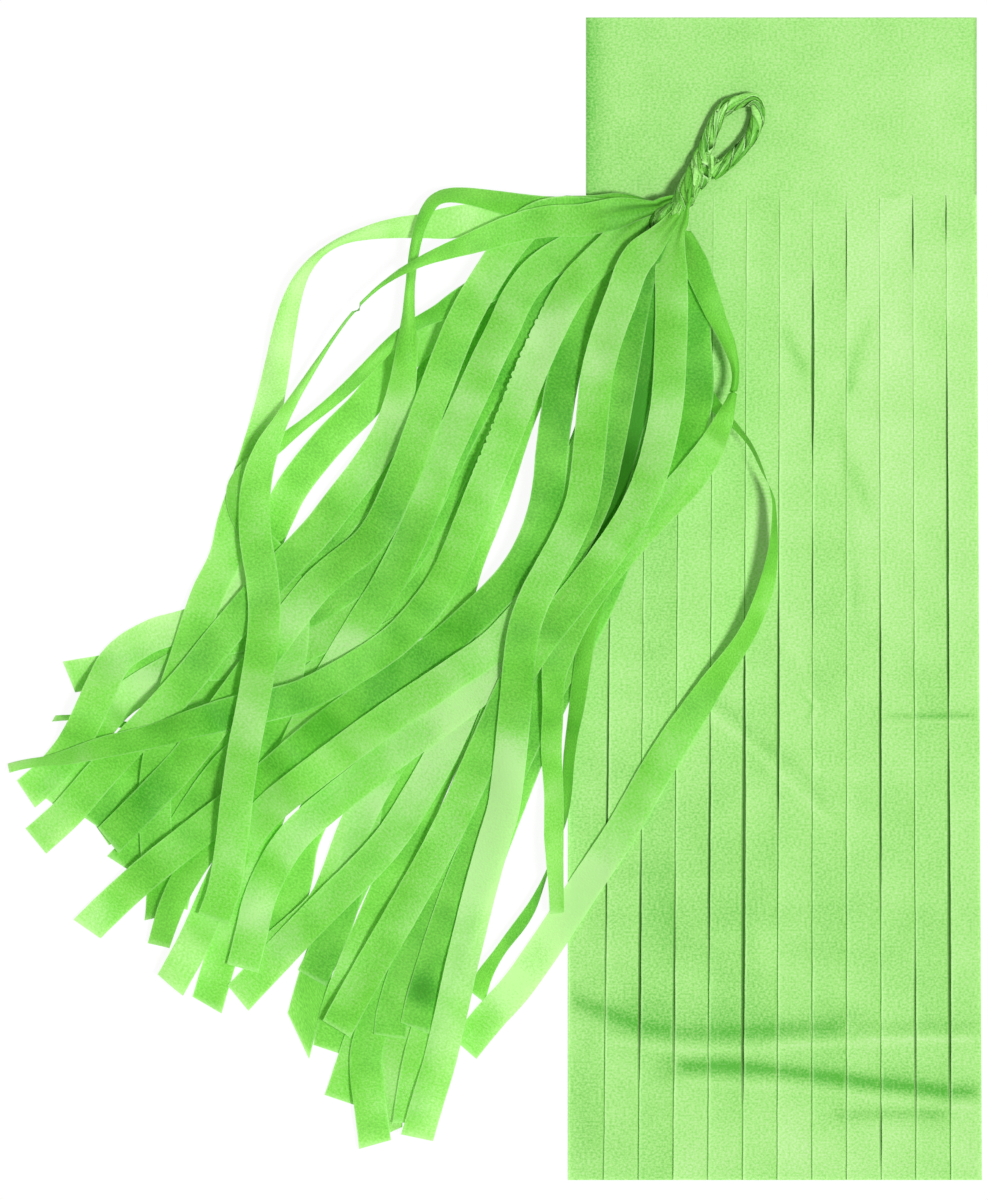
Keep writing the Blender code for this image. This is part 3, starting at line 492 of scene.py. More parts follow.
def buildBand():
    y = np.linspace(cutLine, foldLine - fold["start"], fold["rows"])
    radius = sheet["frontHeight"] - fold["foot"]
    rows = [(value, sheet["frontHeight"]) for value in y]
    for turn in np.linspace(0, math.pi / 2, 6)[1:]:
        rows.append((y[-1] + fold["reach"] * math.sin(turn), fold["foot"] + radius * math.cos(turn)))
    rows = np.array(rows)
    x, yy = np.meshgrid(np.linspace(sheetLeft, sheetRight, fold["columns"]), rows[:, 0])
    flat = softStep((foldLine - yy) / fold["flatFrom"])
    height, layersAndShade, tone = creaseField(x, yy)
    wave = fold["waves"][0] * ripple(11, x + yy * 0.3, (0.035, 0.062))
    wave = wave + fold["waves"][1] * ripple(12, yy - x * 0.2, (0.028, 0.05))
    z = rows[:, 1:] + (wave * softStep((yy - cutLine) / sheet["settle"]) + height) * flat
    edge = rimMark((x - sheetLeft) / (sheetRight - sheetLeft), fold["sideShare"])
    # a painted highlight along the rolled fold, painted shade at the band's sides and in creases
    marks = {"edgeHighlight": fold["edgeHighlight"] * np.exp(-np.abs(foldLine - yy) / fold["highlightReach"]),
             "fold": sheet["creaseShade"] * layersAndShade + fold["sideShade"] * edge,
             "tone": tone - fold["creaseTone"] * layersAndShade}
    grid = np.stack((x, yy, underStrips(x, yy, z)), axis=-1)
    return flatPiece(skin("band", grid, paperUv(x, yy, 1), marks, flatTissue), "header_band")


# the back ply, whose own cuts lie under the front ones; painted shade makes it darkest where a cut stands open

backAcross = (0.0, 0.08, 0.5, 0.92)


def buildBackPly():
    top = np.linspace(foldLine - sheet["backTop"], cutLine, 30)[:-1]
    y = np.concatenate((top, tongueEdges(tongues[0], sheet["backRows"])[0]))
    lines = []
    for number, node in enumerate(tongues):
        last = number + 1 == len(tongues)
        yDown, left, right = tongueEdges(node, sheet["backRows"])
        left = np.interp(-y, -yDown, left) - (sheet["widen"] if number > 0 else 0)
        right = np.interp(-y, -yDown, right) + (0 if last else sheet["widen"])
        for share in (*backAcross, 1.0) if last else backAcross:
            lines.append(left + (right - left) * share)
    x = np.stack(lines, axis=1)
    yy = np.broadcast_to(y[:, None], x.shape)
    shade = np.zeros(x.shape)
    for cut in range(1, len(tongues)):
        shade[:, cut * len(backAcross)] = np.clip(openWidth(cut, y) / (0.5 * mm) + 0.25, 0, 1)
    grid = np.stack((x, yy, np.full(x.shape, sheet["backHeight"])), axis=-1)
    marks = {"edgeHighlight": 0.0, "fold": shade, "tone": creaseField(x, yy)[2]}
    return flatPiece(skin("backPly", grid, paperUv(x, yy, 2), marks, flatTissue), "back_ply")


backPly = buildBackPly()
band = buildBand()
frontTongues = [buildTongue(number, node) for number, node in enumerate(tongues)]
print("flat sheet laid")


# the tassel's strips, each along the line that its solid has

ribbon = {
    # rings drawn for each one of the solid, a strip's width, and how it opens out at the root
    "steps": 5, "fullWidth": 9.8 * mm, "solidWidth": 9.6 * mm, "rootShare": 0.46, "openLength": 15 * mm,
    "rootLength": 30 * mm, "settleFrom": 4 * mm, "settleLength": 24 * mm,
    # the tail inside the neck: length, width at its end, and how far it is drawn there
    "tail": 8.5 * mm, "tailShare": 0.45, "tailPull": (0.85, 0.85, 0.45), "neckEnd": (679, 204),
    # pleats at the root: length and depth of painted shade in their valleys up to the strip that lowPleats starts
    # with, and above it; and how much painted shade darkens the root up to a strip, and above it
    "pleats": 1.7, "pleatTurn": 2.1, "pleatHeight": 0.38 * mm, "pleatFade": 1.3,
    "lowPleats": (33, 26 * mm, 0.9), "topPleats": (11 * mm, 0.4), "lowRootShade": (32, 0.55), "topRootShade": 0.25,
    # edges: how they wander, how far their painted highlight reaches, and one strip's rough right side
    "edgeWobble": 0.07 * mm, "highlightShare": 0.055, "ragged": {30: 0.6}, "raggedTimes": 3,
    "raggedSpan": ((40 * mm, 10 * mm), (105 * mm, -15 * mm)), "raggedSide": 0.8,
    # where a strip curls in: places along it, the share of its width that shows, how high it arches in mm
    "curled": {
        23: ((430, 225, 1, 0), (400, 230, 0.85, 0.2), (375, 233, 0.7, 0.5), (355, 235, 0.55, 0.8),
            (340, 237, 0.4, 1.2), (325, 243, 0.18, 1.4), (312, 256, 0.34, 1.3), (302, 270, 0.5, 1.1),
            (292, 290, 0.65, 0.7), (284, 330, 0.7, 0.4), (272, 400, 0.85, 0.2), (262, 440, 1, 0)),
        24: ((437, 300, 1, 0), (424, 312, 0.5, 0.6), (407, 323, 0.42, 0.8), (384, 351, 0.42, 0.9),
            (355, 385, 0.4, 0.9), (321, 413, 0.38, 0.9), (298, 429, 0.4, 0.9), (270, 447, 0.5, 0.7),
            (250, 470, 0.8, 0.3), (233, 490, 1, 0)),
        25: ((440, 197, 1, 0), (425, 210, 0.66, 0.9), (411, 245, 0.46, 2), (409, 275, 0.44, 2.2),
            (409, 300, 0.46, 1.8), (409, 330, 0.54, 1.4), (407, 360, 0.68, 1), (404, 380, 0.8, 0.5),
            (398, 405, 1, 0)),
        33: ((520, 230, 1, 0), (490, 238, 0.75, 0.2), (470, 244, 0.64, 0.3), (441, 254, 0.52, 0.3),
            (424, 261, 0.42, 0.3), (404, 268, 0.36, 0.4), (388, 279, 0.3, 0.7), (370, 291, 0.18, 1),
            (358, 304, 0.13, 1.2), (345, 320, 0.13, 1.3), (333, 338, 0.17, 1.3), (315, 367, 0.3, 1.2),
            (299, 393, 0.38, 1), (286, 412, 0.46, 0.8), (272, 432, 0.6, 0.5), (255, 480, 1, 0)),
        36: ((694, 241, 1, 0), (702, 280, 0.75, 0.3), (714, 319, 0.62, 0.6), (733, 352, 0.36, 1.1),
            (739, 372, 0.34, 1.2), (734, 392, 0.52, 0.9), (723, 419, 0.8, 0.3), (700, 455, 1, 0))},
    # strips moved a little to where they show: place, reach, and how far right and down
    "nudges": {9: ((448, 612, 42, 20, 2),), 23: ((232, 562, 26, 6, 2),), 30: ((612, 252, 34, 5, 3),),
               36: ((553, 902, 26, 2, 9),), 38: ((626, 258, 30, -4, -2),)},
    # how far a strip may stand up from its line, where nothing lies over it
    "room": 3.2 * mm, "spare": 0.25 * mm, "leastRoom": 0.28 * mm, "roomReach": 6, "roomSides": (-0.45, 0.0, 0.45),
    "arch": 0.42, "roll": 0.5, "wave": 0.62, "rootArch": 0.8 * mm, "skew": 1.2 * mm,
    "leastHeight": 0.12 * mm, "heightChange": 0.1 * mm, "turnedOver": 0.25,
    # tone: painted light by height (paler where a strip swells up), the paper's own tone in slow waves and by strip,
    # and how strongly the noted painted light and shade draws it; below the deepest tone painted shade darkens it,
    # and the tip takes a painted highlight
    "paintedLightByHeight": 0.6, "toneWaves": 0.35, "toneByStrip": 0.2, "plainWeight": 0.25, "notedWeight": 3, "deepest": -1,
    "deepShade": 0.8, "tipHighlight": 0.7,
}


# how far up each point may go before it meets another strip
def roomAbove(number, points):
    lift, past = Vector((0, 0, 0.16 * mm)), Vector((0, 0, 0.01 * mm))
    room = []
    for point in points:
        start = Vector(point) + lift
        while True:
            hit, _, face, _ = stack.ray_cast(start, Vector((0, 0, 1)), ribbon["room"])
            if hit is None or stackOwners[face] != number:
                break
            start = hit + past
        room.append(ribbon["room"] if hit is None else max(hit.z - point[2] - ribbon["spare"], 0.0))
    return np.array(room)


# the least value nearby, then smoothed, so that it never jumps
def eased(values, reach):
    padded = np.pad(values, reach, mode="edge")
    return smoothed(np.array([padded[i:i + 2 * reach + 1].min() for i in range(len(values))]), reach)


# left and right edge of a strip's solid at each of its rings, from the root to the tip
def stations(node):
    shape = bmesh.new()
    shape.from_mesh(frame["nodes"][node].data)
    bmesh.ops.remove_doubles(shape, verts=shape.verts, dist=2e-7)
    shape.verts.ensure_lookup_table()
    root = Vector(hinges[node]["pos_m"])
    ring = sorted(shape.verts, key=lambda v: (v.co - root).length)[:4]
    seen, sides = set(ring), []
    while len(ring) == 4:
        a = ring[0]
        near = min(ring[1:], key=lambda v: (v.co - a.co).length)
        others = [v for v in ring if v not in (a, near)]
        pair = [np.array((a.co + near.co) / 2), np.array((others[0].co + others[1].co) / 2)]
        before = sides[-1][1] - sides[-1][0] if sides else headLine
        if (pair[1] - pair[0]) @ before < 0:
            pair.reverse()
        sides.append(pair)
        ring = list({e.other_vert(v) for v in ring for e in v.link_edges} - seen)
        seen.update(ring)
    shape.free()
    return np.array(sides)


# painted light and shade along the strips, where a strip is deeper or paler in the picture: place, reach and tone,
# from deep at -1 to pale at 1
stripLightAndShade = {
    2: ((77, 670, 30, 0.3),), 3: ((142, 700, 26, 1.2), (120, 730, 26, 0.1), (62, 790, 20, 0.3)),
    4: ((300, 440, 40, -0.2), (285, 480, 30, 0.2), (237, 585, 22, 1.2), (175, 640, 20, 1), (130, 640, 34, 0.9),
        (105, 675, 30, 0.3), (80, 730, 30, -0.1), (37, 782, 30, 0.5)),
    6: ((112, 802, 38, -0.6), (350, 500, 60, -0.3)), 8: ((200, 800, 60, -0.3),),
    9: ((190, 890, 40, -0.5), (200, 800, 40, -0.3)), 10: ((302, 1016, 40, -0.3), (345, 800, 40, -0.6)),
    11: ((420, 830, 60, -0.3), (300, 1030, 40, -0.2)), 12: ((340, 1078, 30, -0.1),), 13: ((391, 1072, 50, 0.7),),
    14: ((410, 1068, 40, 0.1), (540, 720, 40, -0.6), (520, 790, 40, -0.4)), 15: ((326, 952, 60, -0.5),),
    16: ((365, 1082, 60, -0.1), (365, 1020, 25, -0.5)), 17: ((399, 978, 40, -0.3), (425, 900, 40, -0.3)),
    18: ((465, 850, 40, -0.4), (439, 934, 40, -0.3), (416, 945, 16, -0.2), (424, 988, 13, -1.6),
        (414, 1022, 13, -0.2), (540, 660, 50, -0.3), (645, 440, 60, -0.8), (600, 560, 50, -0.5)),
    19: ((296, 882, 30, -0.1), (280, 940, 30, -0.4)), 20: ((362, 802, 22, 1.3), (346, 830, 24, 0.6)),
    21: ((430, 500, 60, -0.3), (330, 640, 40, 0.1)),
    22: ((530, 300, 60, -0.8), (490, 400, 50, -0.5), (370, 560, 50, -0.5)),
    23: ((448, 217, 40, 0.5), (361, 227, 40, 0.7), (286, 317, 40, 1), (267, 395, 40, 0.9), (250, 450, 30, 0.3),
        (227, 541, 40, 0.2), (212, 582, 26, 0.6), (190, 634, 40, -0.1), (165, 780, 40, 0.1), (155, 835, 30, -0.2)),
    24: ((520, 250, 40, -0.7), (430, 310, 40, -0.7), (360, 370, 40, -0.4), (300, 420, 40, -0.1), (233, 490, 30, 0.2),
        (291, 664, 40, 0.6), (272, 736, 30, -0.3), (177, 894, 50, -0.2)),
    25: ((600, 195, 50, -0.3), (473, 205, 60, -0.5), (410, 300, 60, -0.4), (410, 360, 40, 0.1), (395, 432, 44, 1.1),
        (373, 470, 40, 0), (311, 538, 50, -0.3), (230, 620, 30, -0.4), (195, 664, 30, -0.3), (162, 707, 30, 0.1),
        (104, 768, 40, -0.2), (46, 825, 30, 0.5)),
    26: ((600, 240, 50, 0), (520, 290, 50, 0.1), (460, 400, 50, 0.4), (440, 460, 40, 0.5), (400, 560, 50, -0.5),
        (372, 605, 24, -0.4), (347, 650, 20, 1), (217, 958, 40, 0.2)),
    27: ((440, 750, 40, 1.3), (425, 785, 30, 0.9), (400, 820, 40, 0.4), (359, 872, 50, 0), (280, 955, 40, 0.3)),
    28: ((560, 200, 60, -0.5), (500, 262, 40, 0.8), (475, 290, 50, 0.1), (440, 340, 50, -0.1), (418, 420, 50, 0.1),
        (370, 510, 40, -0.6), (330, 570, 30, -0.2), (298, 625, 24, 0.9), (270, 670, 30, -0.3), (190, 756, 30, 0),
        (157, 790, 30, -0.9), (124, 824, 30, -0.65)),
    29: ((650, 235, 30, 0.2), (625, 255, 30, 0.3), (590, 300, 50, -0.5), (565, 390, 50, -0.9), (540, 460, 50, -0.6),
        (510, 570, 50, -0.8), (430, 640, 60, -0.9), (330, 715, 60, -0.8), (270, 770, 40, -0.5), (197, 834, 30, -0.2),
        (147, 866, 30, -0.2), (106, 914, 30, 0.4)),
    30: ((620, 225, 40, 0), (560, 290, 40, 0.1), (540, 350, 40, 1.6), (520, 400, 50, 0.5), (490, 470, 50, 0.2),
        (460, 550, 50, 0), (420, 610, 50, -0.4), (368, 662, 24, 0.2), (310, 690, 50, -0.7), (210, 717, 60, -0.8),
        (160, 740, 50, -0.5), (75, 752, 40, 0.1)),
    31: ((646, 320, 60, -1.3), (632, 400, 40, -1.5), (621, 470, 30, -2.3), (603, 530, 26, -2.3), (560, 600, 40, -1),
        (445, 712, 40, 1.4), (400, 760, 40, 0.4), (365, 790, 26, 0.2), (300, 848, 22, 1.3), (280, 880, 22, -0.2),
        (256, 898, 20, 1.2)),
    32: ((640, 300, 60, -1), (618, 400, 40, -0.4), (600, 470, 40, -0.8), (580, 540, 40, -0.5), (475, 665, 40, 0.4),
        (375, 728, 70, 0.3), (277, 794, 60, 0.2), (190, 947, 40, 0.5)),
    33: ((620, 215, 50, -0.2), (520, 230, 50, -0.1), (440, 250, 40, -0.5), (390, 275, 40, -0.3), (340, 330, 40, 0.5),
        (300, 390, 40, 0.2), (250, 490, 40, -0.1), (265, 610, 50, -0.1), (257, 710, 34, 0.6), (243, 800, 40, 0.15),
        (225, 885, 40, 0.1)),
    34: ((715, 405, 20, -1), (745, 450, 30, -0.7), (770, 520, 40, -0.5), (745, 640, 50, -0.1), (690, 740, 50, -0.1),
        (620, 830, 40, 0.5), (575, 905, 50, 2), (518, 988, 40, 1.2), (480, 1025, 20, 0.3)),
    35: ((690, 300, 60, -0.8), (700, 400, 60, -0.9), (660, 480, 50, -0.6), (590, 620, 50, -0.3), (575, 710, 40, -0.7),
        (530, 910, 40, -0.9), (480, 975, 30, -0.3)),
    36: ((690, 260, 40, -0.5), (715, 310, 40, -0.6), (740, 370, 30, -0.4), (735, 410, 25, -0.3), (700, 460, 40, 0.2),
        (640, 530, 40, 0.2), (590, 600, 40, -0.2), (560, 680, 40, -0.3), (550, 810, 60, 0.1), (552, 880, 30, 0.4)),
    37: ((672, 240, 40, 0), (672, 330, 50, 0), (662, 430, 40, 0.5), (620, 510, 40, 0.1), (570, 600, 50, -0.2),
        (500, 720, 40, -0.6), (475, 766, 30, 0), (450, 800, 30, 0.4), (420, 872, 50, 0.1), (360, 984, 50, 0)),
    38: ((640, 235, 30, -0.1), (615, 290, 40, 0.4), (595, 345, 34, 0.8), (580, 430, 40, -0.1), (555, 510, 40, -0.1),
        (535, 575, 40, 0.4), (520, 640, 40, -0.5), (508, 700, 40, -0.5), (494, 785, 50, 1.6), (478, 860, 50, 1.5),
        (455, 980, 50, 0.8), (430, 1110, 50, 0.4)),
}


# a strip's tone, drawn towards the painted light and shade noted near each point
def lean(strip, grid, plain):
    weight = np.full(grid.shape[:2], ribbon["plainWeight"])
    total = weight * plain
    for px, py, reach, tone in stripLightAndShade.get(strip, ()):
        off = np.linalg.norm(grid[..., :2] - fromPhoto(px, py), axis=-1) / (reach * photoStep)
        share = ribbon["notedWeight"] * hump(off)
        total, weight = total + share * tone, weight + share
    return total / weight


# a curl's share of the width, arch and middle along a strip, and how far it is held to them
def curlIn(run, middle, notes, steps):
    places = np.array([fromPhoto(*note[:2]) for note in notes])
    at = [run[np.argmin(np.hypot(*(middle[:, :2] - place).T))] for place in places]
    held = np.ones(len(notes))
    held[[0, -1]] = 0
    marks = np.column_stack(([note[2:] for note in notes], places, held))
    return [smoothed(np.interp(run, at, mark), 3 * steps) for mark in marks.T]


# a strip's middle line from root to tip, the way across it, its width and its arch
def ribbonLine(strip, node, steps):
    sides = stations(node)
    joined = smoothRows(sides.reshape(len(sides), 6), steps)
    left, right = joined[:, :3], joined[:, 3:]
    middle, side, wide = (left + right) / 2, unit(right - left), np.linalg.norm(right - left, axis=1)
    run = lengthAlong(middle)
    for px, py, reach, moveRight, moveDown in ribbon["nudges"].get(strip, ()):
        off = np.hypot(*(middle[:, :2] - fromPhoto(px, py)).T) / (reach * photoStep)
        middle = middle + hump(off)[:, None] * np.array((moveRight, -moveDown, 0.0)) * photoStep
    opened = ribbon["rootShare"] + (1 - ribbon["rootShare"]) * softStep(run / ribbon["openLength"])
    wide = np.where(run < ribbon["rootLength"], np.maximum(wide, ribbon["fullWidth"] * opened),
                    wide + ribbon["fullWidth"] - ribbon["solidWidth"])
    arch = np.zeros(len(run))
    if strip in ribbon["curled"]:
        share, arch, x, y, held = curlIn(run, middle, ribbon["curled"][strip], steps)
        wide = wide * share
        middle[:, :2] += held[:, None] * (np.stack((x, y), axis=-1) - middle[:, :2])
        side[:, 2] *= 1 - held
        side = unit(side)
    return run, middle, side, wide, arch * mm


# the same with a tail before it that goes back into the neck, narrower all the way
def withTail(run, middle, side, wide, arch):
    share = np.linspace(-1, 0, 7)[:-1]
    neckEnd = np.array((*fromPhoto(*ribbon["neckEnd"]), (headLow.z + headHigh.z) / 2))
    pull = (middle[0] - neckEnd) * np.array(ribbon["tailPull"])
    pull -= headOut * (pull @ headOut)
    back = middle[0] + headOut * ribbon["tail"] * share[:, None] + pull * (softStep(1 + share) - 1)[:, None]
    narrow = ribbon["tailShare"] + (1 - ribbon["tailShare"]) * (1 + share)
    return (np.concatenate((ribbon["tail"] * share, run)), np.vstack((back, middle)),
            np.vstack((np.repeat(side[:1], len(share), axis=0), side)),
            np.concatenate((wide[0] * narrow, wide)), np.concatenate((np.zeros(len(share)), arch)))


# how far a strip stands off its line: its swell, and its lift as a whole, in the middle and at one side
def looseness(number, run, room, pick):
    settle = softStep((run - ribbon["settleFrom"]) / ribbon["settleLength"])
    swell = 0.5 + 0.5 * ripple(number + 80, run, (0.026, 0.043, 0.071))
    wave = ribbon["wave"] * room * swell * settle
    bend = ripple(number + 40, run, (0.05, 0.09, 0.16))
    rootArch = ribbon["rootArch"] * (1 - settle) * pick.uniform(0.3, 1.0)
    arch = ribbon["arch"] * (room * (1 - 0.6 * swell) * bend * settle + rootArch)
    roll = ribbon["roll"] * room * (1 - 0.5 * swell) * ripple(number + 60, run, (0.037, 0.062, 0.11)) * settle
    return swell, wave, arch, roll


# where a strip has its points, as shares of its width
columns = np.array((0.0, 0.025, 0.055, 0.16, 0.25, 0.33, 0.42, 0.5, 0.58, 0.67, 0.75, 0.84, 0.945, 0.975, 1.0))


def buildRibbon(number, node):
    strip, pick = number + 1, np.random.default_rng(number)
    ragged = ribbon["ragged"].get(strip, 0.0)
    times = ribbon["raggedTimes"] if ragged else 1
    run, middle, side, wide, curl = withTail(*ribbonLine(strip, node, ribbon["steps"] * times))
    ahead = unit(np.gradient(middle, axis=0))
    up = unit(np.cross(ahead, side))
    up = up * np.clip(up[:, 2:] / ribbon["turnedOver"], -1, 1)  # always upwards, also where a strip shows its back
    room = [roomAbove(number, middle + side * (wide * share)[:, None]) for share in ribbon["roomSides"]]
    room = np.maximum(eased(np.min(room, axis=0), ribbon["roomReach"] * times), ribbon["leastRoom"])
    swell, wave, arch, roll = looseness(number, run, room, pick)
    skew = pick.uniform(-1, 1) * ribbon["skew"]
    lastLow, *low = ribbon["lowPleats"]
    reach, valley = low if strip <= lastLow else ribbon["topPleats"]
    gather = np.clip(1 - run / reach, 0, 1) ** ribbon["pleatFade"]
    rough = ragged * mm
    for start, length in ribbon["raggedSpan"]:
        rough = rough * softStep((run - start) / length)
    phase = columns * ribbon["pleats"] * 2 * math.pi + number * ribbon["pleatTurn"]
    sway = ripple(number + 9, run, (0.02, 0.05))
    rows = []
    for share, turn in zip(columns, phase):
        edge = 2 * share - 1
        wobble = ribbon["edgeWobble"] * ripple(number + (120 if share < 0.5 else 160), run, (0.004, 0.009, 0.02))
        if share > ribbon["raggedSide"]:
            wobble = wobble + rough * ripple(number + 5, run, (0.0013, 0.0021, 0.0034))
        out = edge * wide / 2 + wobble * abs(edge) ** 3
        pleat = ribbon["pleatHeight"] * np.sin(turn + sway) * gather
        lift = (arch + curl) * (1 - edge ** 2) + wave + roll * edge + pleat
        point = middle + side * out[:, None] + up * lift[:, None]
        point[-1] += ahead[-1] * skew * edge
        rows.append(point)
    grid = np.stack(rows, axis=1)
    least = ribbon["leastHeight"] + ribbon["heightChange"] * (columns * 5 % 1)  # above the table, and not quite even
    grid[..., 2] = np.maximum(grid[..., 2], least)
    # painted highlights along both edges and on the tip
    edgeHighlight = 0.55 + 0.45 * ripple(number + 300, run, (0.02, 0.05))
    edgeHighlight = edgeHighlight[:, None] * rimMark(columns, ribbon["highlightShare"])
    edgeHighlight[-1] = ribbon["tipHighlight"]
    # painted light, paler where the strip swells up, and the paper's own tone in waves and by strip
    tone = ribbon["paintedLightByHeight"] * (swell - 0.5) + ribbon["toneWaves"] * ripple(number + 350, run, (0.03, 0.055))
    tone = lean(strip, grid, (tone + ribbon["toneByStrip"] * math.sin(number * 5.1))[:, None])
    # painted shade over the gathered root
    lastLow, deeper = ribbon["lowRootShade"]
    tone = tone - (deeper if strip <= lastLow else ribbon["topRootShade"]) * gather[:, None]
    # painted shade in the pleats' valleys, and where the tone is deepest
    paintedShade = valley * gather[:, None] * np.clip(-np.sin(phase), 0, 1)
    paintedShade = paintedShade + ribbon["deepShade"] * np.clip(ribbon["deepest"] - tone, 0, 1)
    shift = pick.uniform(0, 900, 2)
    uAcross, uAlong = np.meshgrid(columns * 10 + shift[0], run / mm + shift[1])
    marks = {"edgeHighlight": np.clip(edgeHighlight, 0, 1), "fold": np.clip(paintedShade, 0, 1), "tone": tone}
    piece = skin(f"strip_{strip:02d}", grid, np.stack((uAcross, uAlong), axis=-1), marks, looseTissue)
    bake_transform(piece)
    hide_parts(node)
    return piece, float(run[-1] - run[0])


# the twist: a loop and a neck, each wound from folded tissue, and the rolled band's end below them

twist = {
    "loopRoute": ((699, 165), (703, 155.5), (706.5, 146), (711, 133), (718, 117), (728, 106), (741, 101.5),
                  (753, 101), (757, 108), (756.5, 121), (750, 137), (740, 150), (730, 159.5), (720, 168), (711, 175)),
    "neckRoute": ((710, 155), (705, 163), (697, 177), (687, 190.5), (681, 203), (676, 213)),
    "neckHalf": (4.1, 4.0, 3.7, 3.3, 3.0, 2.8), "ropeHalf": 2.15 * mm, "forkHeight": 4.6 * mm, "swelling": 0.07,
    "gatherRoute": ((680, 206, 9.0), (672, 214, 9.0), (663, 221.5, 8.6), (653, 230, 6.4), (643, 239, 3.6)),
    "gatherHalf": (2.5, 3.4, 4.2, 3.6, 1.8), "gatherTall": (6.8, 6.9, 6.2, 4.2, 1.6), "headShare": 0.96,
    "columns": 96, "loopRows": 360, "neckRows": 150, "gatherRows": 90, "loopLean": 24, "neckLean": 38,
    # facets, and the crumples on them as shares of a facet's lean, length and width
    "facetLong": 8.5 * mm, "facetWide": 1.9 * mm, "crumples": (0.6, 0.8, 0.42),
    # how far facets step, tilt and crumple, and a spot of painted shadow inside the loop's eye: place and reach
    "step": 0.22, "tilt": 0.14, "crumple": 0.06, "shadowSpot": (749, 107, 1.3),
    # how far from a border facets and crumples step up, take a painted highlight and take painted shade
    "stepEdges": (0.25, 0.3), "highlightEdges": (0.22, 0.25), "shadedEdges": (0.40, 0.35),
}


# the two facets nearest to each point of a rolled-out rope, how near their border is, and how far across it lies
def facets(s, t, girth, lean, long, wide, pick):
    cos, sin = math.cos(math.radians(lean)), math.sin(math.radians(lean))
    count = int(s.max() * girth / (long * wide)) + 2
    first, second = np.full(s.shape, 99.0), np.full(s.shape, 99.0)
    owner, other, slope = np.zeros(s.shape, dtype=int), np.zeros(s.shape, dtype=int), np.zeros(s.shape)
    for k, (sk, tk) in enumerate(zip(pick.uniform(-0.03, 1.03, count) * s.max(), pick.uniform(0, 1, count) * girth)):
        for turn in (-1, 0, 1):
            ds, dt = s - sk, t - tk - turn * girth
            off = (dt * cos - ds * sin) / wide
            far = np.hypot((ds * cos + dt * sin) / long, off)
            nearest, nearer = far < first, (far >= first) & (far < second)
            second = np.where(nearest, first, np.where(nearer, far, second))
            other = np.where(nearest, owner, np.where(nearer, k, other))
            owner, slope = np.where(nearest, k, owner), np.where(nearest, off, slope)
            first = np.where(nearest, far, first)
    return owner, other, second - first, slope, count


# a rope of crumpled paper: long facets that lean round it, each with its own height, tilt and tone
def wound(name, node, centre, half, high, lean, seed):
    pick = np.random.default_rng(seed)
    run = lengthAlong(centre)
    ahead = unit(np.gradient(centre, axis=0))
    side = unit(np.cross(ahead, (0, 0, 1)))
    around = np.linspace(0, 2 * math.pi, twist["columns"] + 1)[:-1]
    girth = 2 * math.pi * float(np.mean(half))
    s, t = np.meshgrid(run, around / (2 * math.pi) * girth, indexing="ij")
    long, wide = twist["facetLong"], twist["facetWide"]
    owner, other, border, slope, count = facets(s, t, girth, lean, long, wide, pick)
    rank, tilt, tone = pick.permutation(count) / count, pick.uniform(-1, 1, count), pick.uniform(-1, 1, count)
    smallLean, smallLong, smallWide = twist["crumples"]
    small = facets(s, t, girth, lean * smallLean, long * smallLong, wide * smallWide, pick)
    dips, smallBorder = pick.uniform(-1, 1, small[4])[small[0]], small[2]
    over = rank[owner] > rank[other]
    edge, smallEdge = twist["stepEdges"]
    out = 1 + twist["step"] * (rank[owner] - 0.6) * softStep(border / edge) + twist["tilt"] * tilt[owner] * slope
    out = out + twist["crumple"] * dips * softStep(smallBorder / smallEdge)
    grid = centre[:, None] + side[:, None] * (half[:, None] * np.cos(around) * out)[..., None]
    grid = grid + np.array((0, 0, 1.0)) * (high[:, None] * np.sin(around) * out)[..., None]
    # a painted shadow inside the loop's eye
    px, py, reach = twist["shadowSpot"]
    dark = hump(np.linalg.norm(grid[..., :2] - fromPhoto(px, py), axis=-1) / (reach * mm))
    # painted highlights on facet edges that lie over their neighbours and tilt up, and on raised crumples
    edge, smallEdge = twist["highlightEdges"]
    bright = np.where(over & (tilt[owner] > 0), 0.75 * softStep(1 - border / edge), 0.0)
    bright = np.maximum(bright, (dips > 0.45) * 0.5 * softStep(1 - smallBorder / smallEdge))
    # painted shade along the lower side of facet borders and in crumple hollows
    edge, smallEdge = twist["shadedEdges"]
    paintedShade = np.where(over, 0.0, softStep(1 - border / edge)) * np.clip(0.85 + 0.35 * tilt[other], 0, 1)
    paintedShade = np.maximum(paintedShade, (dips < -0.1) * 0.75 * softStep(1 - smallBorder / smallEdge))
    # each facet's own tone, with painted light by its tilt and on raised crumples; the painted shadow spot only on
    # deeper facets
    marks = {"edgeHighlight": bright, "fold": np.clip(paintedShade + 0.9 * dark * (tone[owner] < 0.3), 0, 1),
             "tone": 0.7 * tone[owner] + 0.25 * dips - 0.1 + 0.35 * slope * tilt[owner]}
    piece = skin(name, grid, np.stack((t, s), axis=-1) / mm, marks, twistTissue, ring=True)
    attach(piece, "tassel_head")
    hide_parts(node)
    return piece


